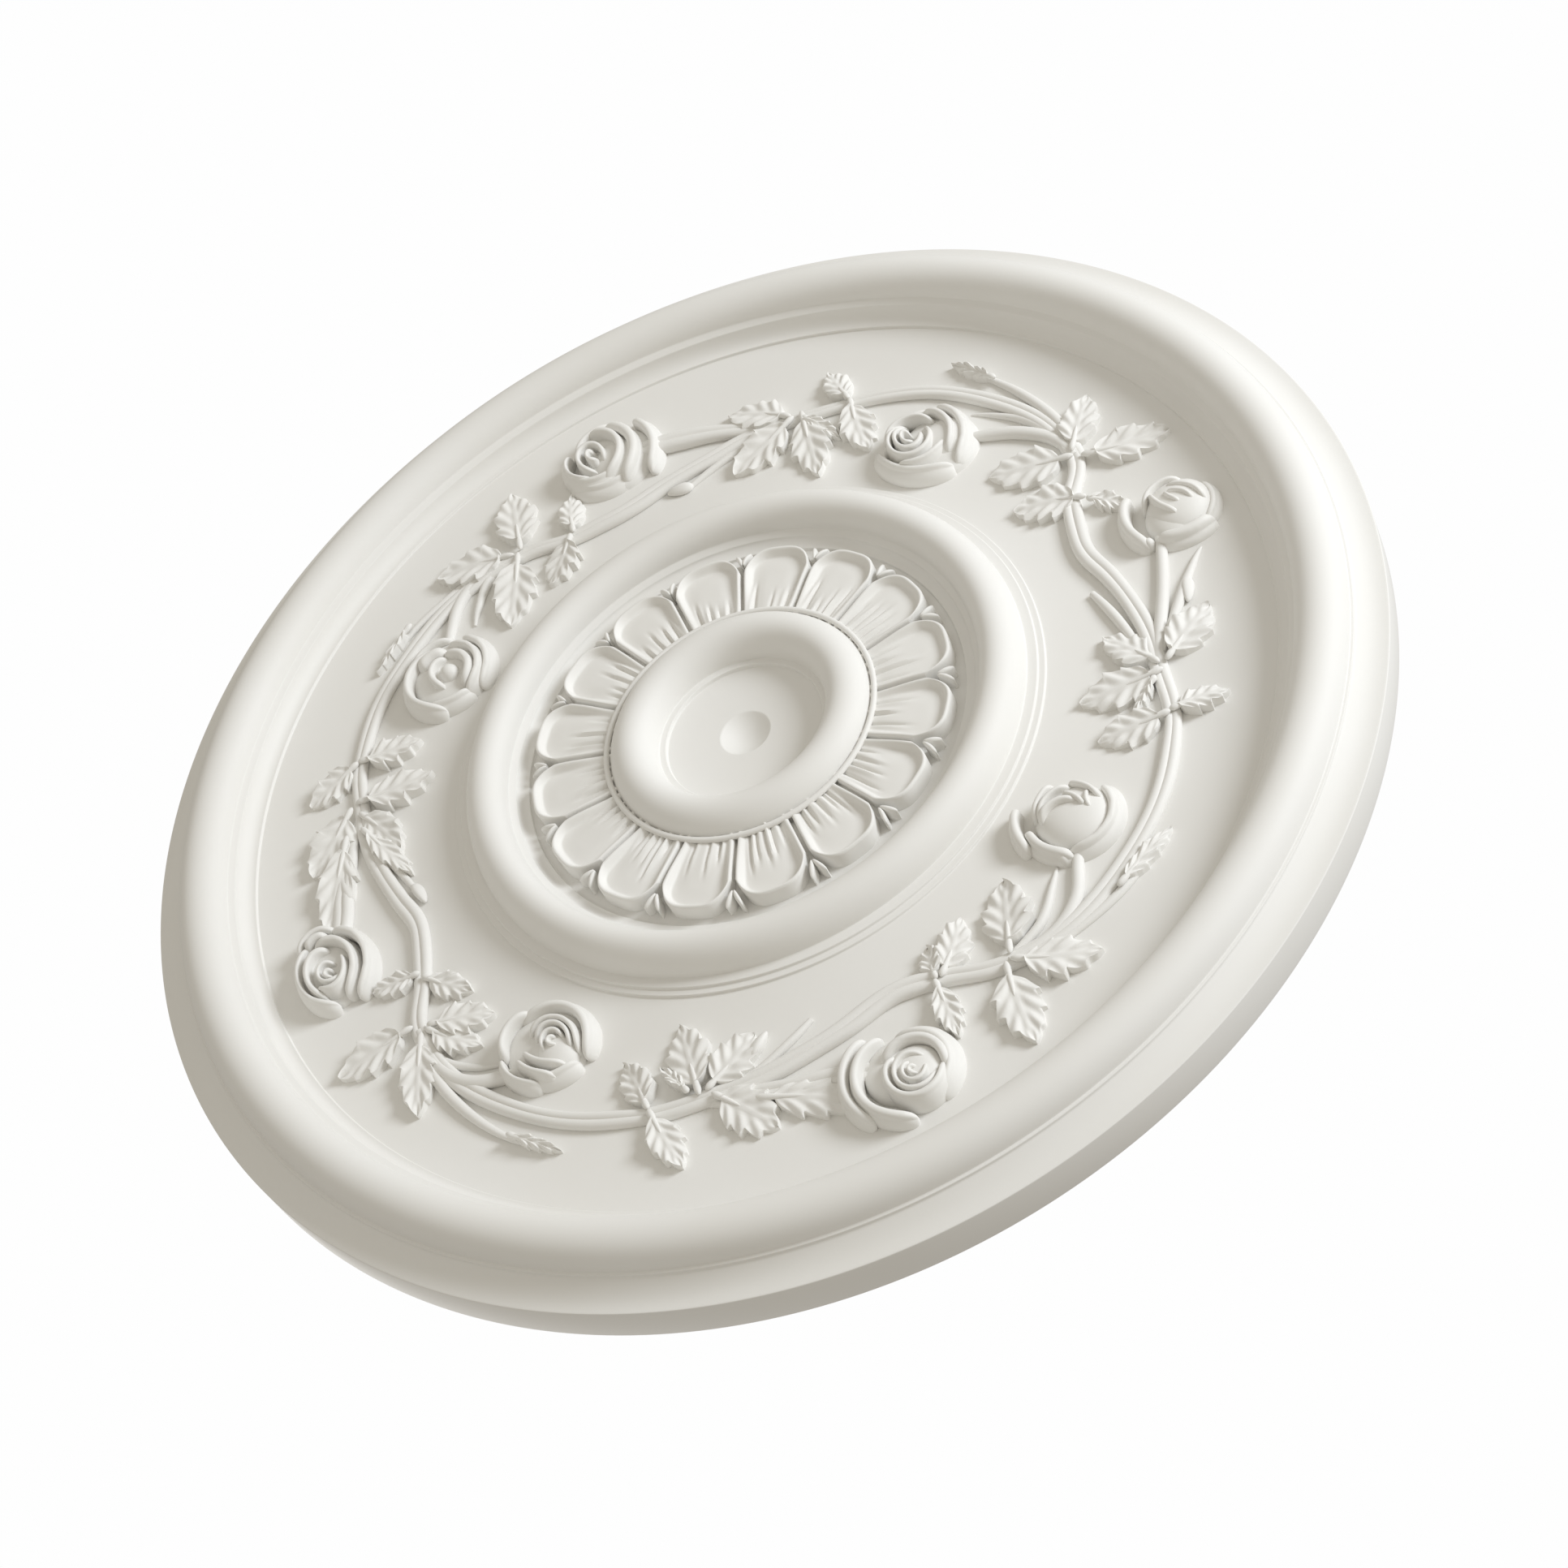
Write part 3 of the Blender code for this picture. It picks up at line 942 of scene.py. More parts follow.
@dataclass
class Stem:
    """Stem of one round strand, or of two side by side, along a course on the field.

    The course holds (degrees, reach, width in millimetres) at each of its points. A closed course
    ends where it begins. A strand stands proud of the field by a share of its thickness.
    """

    ground: Field
    course: Sequence[tuple[float, float, float]]
    closed: bool = False
    strands: int = 2
    shares: tuple[float, float] = (0.60, 0.56)
    proud: float = 0.78
    fullness: float = 1.12
    steps: int = 8

    def middle(self) -> list[tuple[Vector, float]]:
        """Points along the middle of the stem.

        Returns:
            Each point, with the width in metres there.
        """
        known = list(self.course)
        if self.closed:
            ahead = [(degrees + 360, reach, width) for degrees, reach, width in known[:3]]
            rows = curve_through([*known, *ahead], self.steps)
            rows = rows[self.steps:self.steps * (len(known) + 1)]
        else:
            rows = curve_through(known, self.steps)
        size = self.fullness * MM
        return [(self.ground.point(degrees, reach), width * size) for degrees, reach, width in rows]

    def strand(self, side: float, share: float) -> bpy.types.Object:
        """Make one strand.

        Args:
            side: Where it lies across the stem, from -1 to 1.
            share: Its thickness as a share of the stem's width.

        Returns:
            The strand.
        """
        deselect()
        line = self.middle()
        curve = bpy.data.curves.new("stem", "CURVE")
        curve.dimensions = "3D"
        curve.bevel_depth = 1 * MM
        curve.bevel_resolution = 3
        curve.use_fill_caps = not self.closed
        spline = curve.splines.new("POLY")
        spline.points.add(len(line) - 1)
        spline.use_cyclic_u = self.closed
        for index, (point, (spot, width)) in enumerate(zip(spline.points, line)):
            before = line[index - 1][0] if index or self.closed else spot
            after = line[(index + 1) % len(line)][0] if index + 1 < len(line) or self.closed else spot
            ahead = (after - before).normalized()
            across = Vector((-ahead.y, ahead.x, 0.0))
            sway = 0.85 + 0.15 * math.sin(index * 0.55 + 2 * side)
            place = spot + across * side * width * (1 - share) / 2 * sway
            place.z += share * width * (self.proud - 0.5) + 0.3 * MM * side
            point.co = (*place, 1.0)
            point.radius = share * width / 2 / MM
        item = bpy.data.objects.new("stem", curve)
        bpy.context.scene.collection.objects.link(item)
        select_only(item)
        bpy.ops.object.convert(target="MESH")
        item = bpy.context.object
        with editing(item):
            bpy.ops.mesh.select_all(action="SELECT")
            bpy.ops.mesh.remove_doubles(threshold=0.005 * MM)
            bpy.ops.mesh.normals_make_consistent(inside=False)
        return item

    def build(self) -> list[bpy.types.Object]:
        """Make the stem.

        Returns:
            Its strands.
        """
        if self.strands == 1:
            return [self.strand(0.0, 1.0)]
        return [self.strand(side, share) for side, share in zip((-1.0, 1.0), self.shares)]


@dataclass
class Bud:
    """Closed bud on the end of a shoot, longer than it is wide."""

    ground: Field
    spot: Spot
    heading: Spot
    length: float = 14 * MM
    width: float = 6.4 * MM

    def place(self, spots: np.ndarray) -> np.ndarray:
        """Pull a ball into the bud.

        Args:
            spots: Points of the ball.

        Returns:
            The points of the bud.
        """
        start = self.ground.point(*self.spot)
        forward = (self.ground.point(*self.heading) - start).normalized()
        share = (spots[:, 2] + 1) / 2
        x = self.length * (share - 0.2)
        swell = 1.1 - 0.45 * share
        turn = np.arctan2(spots[:, 1], spots[:, 0])
        lobes = 1 + 0.10 * np.cos(3 * turn)
        y = self.width / 2 * spots[:, 0] * swell * lobes
        z = 1.6 * MM + self.width / 2 * spots[:, 1] * swell * lobes
        return self.ground.lay(start, forward, x, y, z)

    def build(self) -> bpy.types.Object:
        """Make the bud.

        Returns:
            The bud.
        """
        item = new_ball("bud", 16, 12)
        reshape(item, self.place)
        face_outwards(item)
        return item


@dataclass
class Quarter:
    """One quarter of the garland: courses of its stems and the places of its leaves.

    Courses hold (degrees, reach, width in millimetres). Leaves hold base, tip and half-width as a
    share of their length. Degrees count from where the quarter begins.
    """

    ground: Field
    number: int
    stems: Sequence[Sequence[tuple[float, float, float]]]
    leaves: Sequence[tuple[Spot, Spot, float]]
    bud: tuple[Spot, Spot]
    doubled_from: float = 7.0

    @property
    def start(self) -> float:
        """Degrees at which the quarter begins."""
        return 90.0 * (self.number - 1)

    def moved(self, spot: Spot) -> Spot:
        """Place of the quarter as a place on the whole face."""
        return (spot[0] + self.start, spot[1])

    def build(self) -> bpy.types.Object:
        """Make the stems, leaves and bud of the quarter.

        Returns:
            The joined quarter on the bench.
        """
        pieces = []
        for course in self.stems:
            turned = [(degrees + self.start, reach, width) for degrees, reach, width in course]
            strands = 2 if max(width for _, _, width in course) > self.doubled_from else 1
            pieces += Stem(self.ground, turned, strands=strands).build()
        for index, (base, tip, width) in enumerate(self.leaves):
            leaf = Leaf(self.ground, self.moved(base), self.moved(tip), width, 40 * self.number + index)
            pieces += leaf.build()
        spot, heading = self.bud
        pieces.append(Bud(self.ground, self.moved(spot), self.moved(heading)).build())
        return join(f"garland_quarter_{self.number}", pieces)


class Bloom(Enum):
    """How far a rose is open: how full its body stands under its petals, in millimetres."""

    OPEN = 7.0
    CURLED = 8.0
    SIDEWAYS = 9.0


@dataclass(frozen=True)
class Petal:
    """One petal of a rose, swept along an arc. Lengths are in millimetres.

    Attributes:
        x: Place of the arc's middle, from the rose's middle.
        y: The same, the other way.
        radius: Distance of its lip from the arc's middle.
        start: Degrees at which it begins.
        span: Degrees that it covers.
        top: Height of its lip over the field.
        lip: Thickness of its rolled lip.
        drop: Depth of the slit on its inner side.
        belly: How far its outside swells beyond the lip.
        gain: How much its radius grows from its start to its end.
        oval: Length of its arc over its width.
    """

    x: float
    y: float
    radius: float
    start: float
    span: float
    top: float
    lip: float
    drop: float
    belly: float
    gain: float = 0.0
    oval: float = 1.0


@dataclass(frozen=True)
class Ball:
    """Rounded part of a rose, such as a tight heart. Lengths are in millimetres."""

    x: float
    y: float
    radius: float
    height: float


@dataclass
class Rose:
    """Rose with overlapping petals round a heart that lies off its middle.

    Attributes:
        ground: The field that it lies on.
        name: Name of the piece.
        centre: Place of its middle on the field.
        bloom: How far it is open.
        petals: Its petals, from the heart outwards.
        balls: Its other rounded parts.
        body: Radius of the round body under its petals, in millimetres.
        body_shift: How far that body lies from the rose's middle, in millimetres.
        oval: Length of that body over its width.
        step: Distance between cross-sections along a petal's lip, in millimetres.
    """

    ground: Field
    name: str
    centre: Spot
    bloom: Bloom
    petals: Sequence[Petal]
    balls: Sequence[Ball] = ()
    body: float = 20.5
    body_shift: float = 0.5
    oval: float = 1.0
    step: float = 1.7

    def section(self, petal: Petal) -> np.ndarray:
        """Cross-section of a petal, over its rolled lip and down both sides.

        Args:
            petal: The petal.

        Returns:
            Its points, as distance from the lip line and height against the crest.
        """
        lip, belly, drop = petal.lip, petal.belly, petal.drop
        height = petal.top + self.ground.root / MM
        side = 0.62 * lip
        return np.array([
            (0.0, 0.0), (0.34 * lip, -0.05 * lip), (side, -0.28 * lip), (0.68 * lip, -0.62 * lip),
            (side + 0.16 * belly, -0.9 * lip - 0.04 * height),
            (side + 0.52 * belly, -0.8 * lip - 0.16 * height),
            (side + 0.82 * belly, -0.4 * lip - 0.42 * height),
            (side + 0.97 * belly, -0.72 * height), (side + belly, -height), (-0.3 * lip, -height),
            (-0.6 * lip, -drop), (-0.55 * lip, -0.55 * drop - 0.2 * lip),
            (-0.46 * lip, -0.42 * lip), (-0.26 * lip, -0.1 * lip),
        ])

    def on_face(self, x: np.ndarray, y: np.ndarray, z: np.ndarray) -> np.ndarray:
        """Turn points of the rose into points on the face.

        Args:
            x: Distance of each point from the rose's middle, in millimetres.
            y: The same, the other way.
            z: Its height over the field, in millimetres.

        Returns:
            The points on the face, none below the root.
        """
        middle = self.ground.point(*self.centre)
        height = np.maximum(middle.z + MM * z, middle.z - self.ground.root)
        return np.column_stack([middle.x + MM * x, middle.y + MM * y, height])

    def sweep(self, petal: Petal) -> bpy.types.Object:
        """Pull a ball into one petal: its poles are the petal's two ends.

        Args:
            petal: The petal.

        Returns:
            The petal in its place.
        """
        section = self.section(petal)
        sides = len(section)
        core = section.mean(axis=0)
        steps = max(12, round(petal.radius * math.radians(petal.span) / self.step))
        item = new_ball("petal", sides, steps)

        def place(spots: np.ndarray) -> np.ndarray:
            """Carry the cross-section along the petal's arc, and close it at both ends.

            Args:
                spots: Points of the ball.

            Returns:
                The points of the petal.
            """
            along = np.arccos(np.clip(-spots[:, 2], -1, 1)) / math.pi
            number = np.round(np.arctan2(spots[:, 1], spots[:, 0]) / math.tau * sides)
            number = number.astype(int) % sides
            at_end = np.abs(2 * along - 1)
            full = np.sqrt(np.clip(1 - at_end ** 8, 0.0, 1.0))
            swept = core + (section[number] - core) * full[:, None]
            angle = np.radians(petal.start + petal.span * along)
            radius = petal.radius + petal.gain * (along - 0.5) + swept[:, 0]
            x = petal.x + radius * np.cos(angle)
            y = petal.y + radius * np.sin(angle) * petal.oval
            return self.on_face(x, y, petal.top * (1 - 0.32 * at_end ** 4) + swept[:, 1])

        reshape(item, place)
        face_outwards(item)
        subdivide(item, 1)
        return item

    def round_part(self, ball: Ball, oval: float = 1.0) -> bpy.types.Object:
        """Make one rounded part.

        Args:
            ball: The part.
            oval: Its length over its width.

        Returns:
            The part in its place.
        """
        item = new_ball("ball", 32, 18)
        lower = self.ground.root / MM

        def place(spots: np.ndarray) -> np.ndarray:
            """Swell the ball's upper half, and set its lower half into the field.

            Args:
                spots: Points of the ball.

            Returns:
                The points of the part.
            """
            side = np.hypot(spots[:, 0], spots[:, 1])
            plump = np.where(spots[:, 2] > 0, np.abs(spots[:, 2]) ** 0.85, 0.0)
            grow = np.where(side > 1e-6, np.minimum(1.0, side) ** 0.85 / np.maximum(side, 1e-6), 1.0)
            x = ball.x + ball.radius * spots[:, 0] * grow
            y = ball.y + ball.radius * oval * spots[:, 1] * grow
            z = np.where(spots[:, 2] > 0, ball.height * plump, lower * spots[:, 2])
            return self.on_face(x, y, z)

        reshape(item, place)
        face_outwards(item)
        return item

    def build(self) -> bpy.types.Object:
        """Make the rose.

        Returns:
            The joined rose on the bench.
        """
        pieces = [self.sweep(petal) for petal in self.petals]
        pieces += [self.round_part(ball) for ball in self.balls]
        body = Ball(self.body_shift, 0.0, self.body, self.bloom.value)
        pieces.append(self.round_part(body, self.oval))
        return join(self.name, pieces)


def garland_stem(ground: Field) -> bpy.types.Object:
    """Make the stem that runs all round the garland, in waves past the roses.

    Args:
        ground: The field that it lies on.

    Returns:
        The stem on the bench.
    """
    course = [
        (0, 0.598, 9.5), (8.5, 0.630, 8.5), (14.5, 0.685, 8), (23, 0.712, 8), (36, 0.718, 8),
        (47, 0.703, 7.5), (57, 0.672, 7), (66, 0.652, 8), (74, 0.625, 8.5), (83, 0.602, 9),
        (92, 0.592, 9.5), (100, 0.612, 8.5), (107, 0.655, 8), (117, 0.690, 8), (130, 0.702, 8),
        (140, 0.700, 8), (148, 0.688, 7.5), (156, 0.665, 8), (165, 0.638, 8.5), (174, 0.606, 9),
        (182, 0.594, 9.5), (190, 0.628, 8.5), (197, 0.680, 8), (206, 0.702, 8), (218, 0.706, 8),
        (230, 0.694, 8), (237, 0.680, 7.5), (246, 0.656, 8), (255, 0.634, 8.5), (264, 0.610, 9),
        (272, 0.598, 9.5), (278, 0.622, 8.5), (285.5, 0.672, 8), (294, 0.702, 8), (307, 0.712, 8),
        (319, 0.704, 8), (326, 0.690, 7.5), (334, 0.662, 8), (343, 0.640, 8.5), (352, 0.612, 9),
    ]
    return join("garland_stem", Stem(ground, course, closed=True).build())


def garland_quarters(ground: Field) -> list[Quarter]:
    """The four quarters, alike in their plan and each with its own hand-cut differences.

    Args:
        ground: The field that they lie on.

    Returns:
        The quarters in order round the face.
    """
    return [
        Quarter(
            ground, 1,
            stems=[
                [(61, 0.662, 3.5), (67, 0.665, 7.5), (74, 0.679, 10), (80, 0.697, 11.5), (87, 0.708, 11)],
                [(15, 0.690, 5), (20, 0.695, 5.5), (25, 0.678, 6), (29, 0.654, 5.5), (33, 0.628, 4)],
                [(14, 0.695, 4), (21, 0.724, 5), (28, 0.744, 4.5), (34, 0.758, 3), (39, 0.764, 1.2)],
                [(64, 0.648, 2), (70, 0.622, 3.2), (75, 0.598, 3.2), (79, 0.578, 2.4)],
                [(15, 0.690, 4), (20, 0.702, 4.5), (26, 0.704, 4), (31, 0.694, 2.4), (34, 0.686, 1)],
            ],
            leaves=[
                ((15.8, 0.695), (21.6, 0.786), 0.27), ((13.4, 0.700), (8.4, 0.815), 0.24),
                ((15.0, 0.680), (22.6, 0.578), 0.30), ((7.4, 0.645), (14.4, 0.563), 0.30),
                ((6.4, 0.650), (2.6, 0.694), 0.25), ((53.4, 0.690), (57.8, 0.756), 0.28),
                ((52.8, 0.682), (47.8, 0.578), 0.27), ((59.8, 0.662), (54.8, 0.530), 0.25),
                ((59.4, 0.655), (52.8, 0.612), 0.16), ((61.5, 0.655), (70.4, 0.562), 0.27),
                ((62.0, 0.664), (70.9, 0.718), 0.30), ((34.0, 0.757), (41.0, 0.768), 0.10),
            ],
            bud=((79, 0.578), (84, 0.586)),
        ),
        Quarter(
            ground, 2,
            stems=[
                [(66, 0.674, 4), (72, 0.684, 8), (78, 0.694, 9.5), (83, 0.706, 10), (88, 0.720, 8)],
                [(17, 0.655, 5), (22, 0.682, 5), (27, 0.682, 5.5), (32, 0.656, 5), (36, 0.630, 4)],
                [(17, 0.652, 4), (22, 0.668, 4.5), (27, 0.642, 3.6), (30, 0.622, 1.5)],
                [(20, 0.690, 3), (28, 0.712, 3.5), (34, 0.728, 3), (40, 0.736, 1.2)],
                [(66, 0.655, 2), (73, 0.628, 3.6), (79, 0.596, 3.4), (84, 0.576, 2.4)],
            ],
            leaves=[
                ((18.0, 0.665), (25.4, 0.766), 0.30), ((16.0, 0.665), (11.4, 0.792), 0.27),
                ((17.4, 0.650), (27.4, 0.548), 0.27), ((9.6, 0.606), (17.4, 0.544), 0.33),
                ((8.6, 0.615), (6.2, 0.700), 0.26), ((57.0, 0.694), (62.7, 0.762), 0.26),
                ((56.4, 0.685), (53.2, 0.588), 0.29), ((63.6, 0.668), (60.6, 0.546), 0.28),
                ((66.0, 0.662), (73.8, 0.586), 0.27), ((65.0, 0.684), (74.0, 0.742), 0.30),
                ((69.0, 0.655), (80.0, 0.580), 0.14), ((70.0, 0.686), (84.0, 0.736), 0.18),
                ((34.0, 0.730), (41.5, 0.744), 0.10),
            ],
            bud=((83, 0.578), (86, 0.570)),
        ),
        Quarter(
            ground, 3,
            stems=[
                [(62, 0.665, 4), (68, 0.670, 7.5), (75, 0.677, 9.5), (81, 0.690, 10), (86, 0.704, 8)],
                [(17, 0.680, 5), (24, 0.702, 5.5), (29, 0.696, 6), (33, 0.668, 6), (36, 0.640, 4)],
                [(17, 0.682, 4), (24, 0.716, 5), (31, 0.736, 4.5), (38, 0.748, 3), (44, 0.748, 1.2)],
                [(18, 0.674, 4), (23, 0.690, 4), (28, 0.672, 3), (31, 0.652, 1.2)],
                [(64, 0.652, 2), (70, 0.632, 3.2), (75, 0.600, 3.4), (79, 0.572, 2.4)],
            ],
            leaves=[
                ((18.4, 0.685), (25.8, 0.782), 0.22), ((16.0, 0.690), (13.7, 0.814), 0.26),
                ((18.4, 0.670), (26.8, 0.648), 0.27), ((18.0, 0.662), (24.4, 0.584), 0.30),
                ((10.6, 0.622), (18.4, 0.590), 0.27), ((9.2, 0.628), (6.9, 0.702), 0.24),
                ((56.4, 0.684), (61.2, 0.772), 0.25), ((55.8, 0.674), (50.6, 0.598), 0.28),
                ((62.6, 0.654), (57.6, 0.536), 0.27), ((61.0, 0.652), (56.4, 0.606), 0.15),
                ((64.0, 0.650), (70.8, 0.574), 0.33), ((65.0, 0.664), (72.8, 0.732), 0.33),
                ((71.0, 0.684), (84.0, 0.738), 0.18), ((39.0, 0.748), (46.0, 0.752), 0.10),
            ],
            bud=((70, 0.600), (71, 0.585)),
        ),
        Quarter(
            ground, 4,
            stems=[
                [(64, 0.660, 4), (70, 0.668, 5.5), (76, 0.682, 5.5), (82, 0.698, 5), (86, 0.712, 5)],
                [(16, 0.674, 5), (22, 0.690, 5), (27, 0.682, 5.5), (31, 0.652, 5), (34, 0.630, 4)],
                [(16, 0.665, 3), (22, 0.662, 4), (27, 0.636, 3), (30, 0.620, 1.2)],
                [(17, 0.692, 3), (26, 0.720, 3.5), (32, 0.734, 3.5), (38, 0.738, 1.5)],
                [(64, 0.652, 3), (69, 0.626, 4), (75, 0.600, 4.4), (80, 0.580, 3)],
                [(65, 0.662, 2.5), (70, 0.684, 4), (75, 0.710, 4.5), (79, 0.738, 3), (81, 0.756, 1)],
            ],
            leaves=[
                ((16.4, 0.682), (22.8, 0.778), 0.28), ((15.0, 0.682), (10.7, 0.802), 0.27),
                ((16.8, 0.664), (24.4, 0.566), 0.30), ((8.4, 0.622), (16.4, 0.566), 0.27),
                ((7.4, 0.620), (8.8, 0.562), 0.30), ((7.0, 0.628), (5.6, 0.722), 0.22),
                ((56.0, 0.694), (59.4, 0.768), 0.28), ((55.4, 0.686), (50.4, 0.592), 0.27),
                ((62.2, 0.666), (57.2, 0.552), 0.28), ((63.8, 0.662), (70.6, 0.582), 0.27),
                ((64.2, 0.680), (71.8, 0.742), 0.30), ((61.0, 0.660), (55.2, 0.630), 0.14),
                ((31.0, 0.731), (40.0, 0.746), 0.12),
            ],
            bud=((76, 0.720), (74, 0.716)),
        ),
    ]


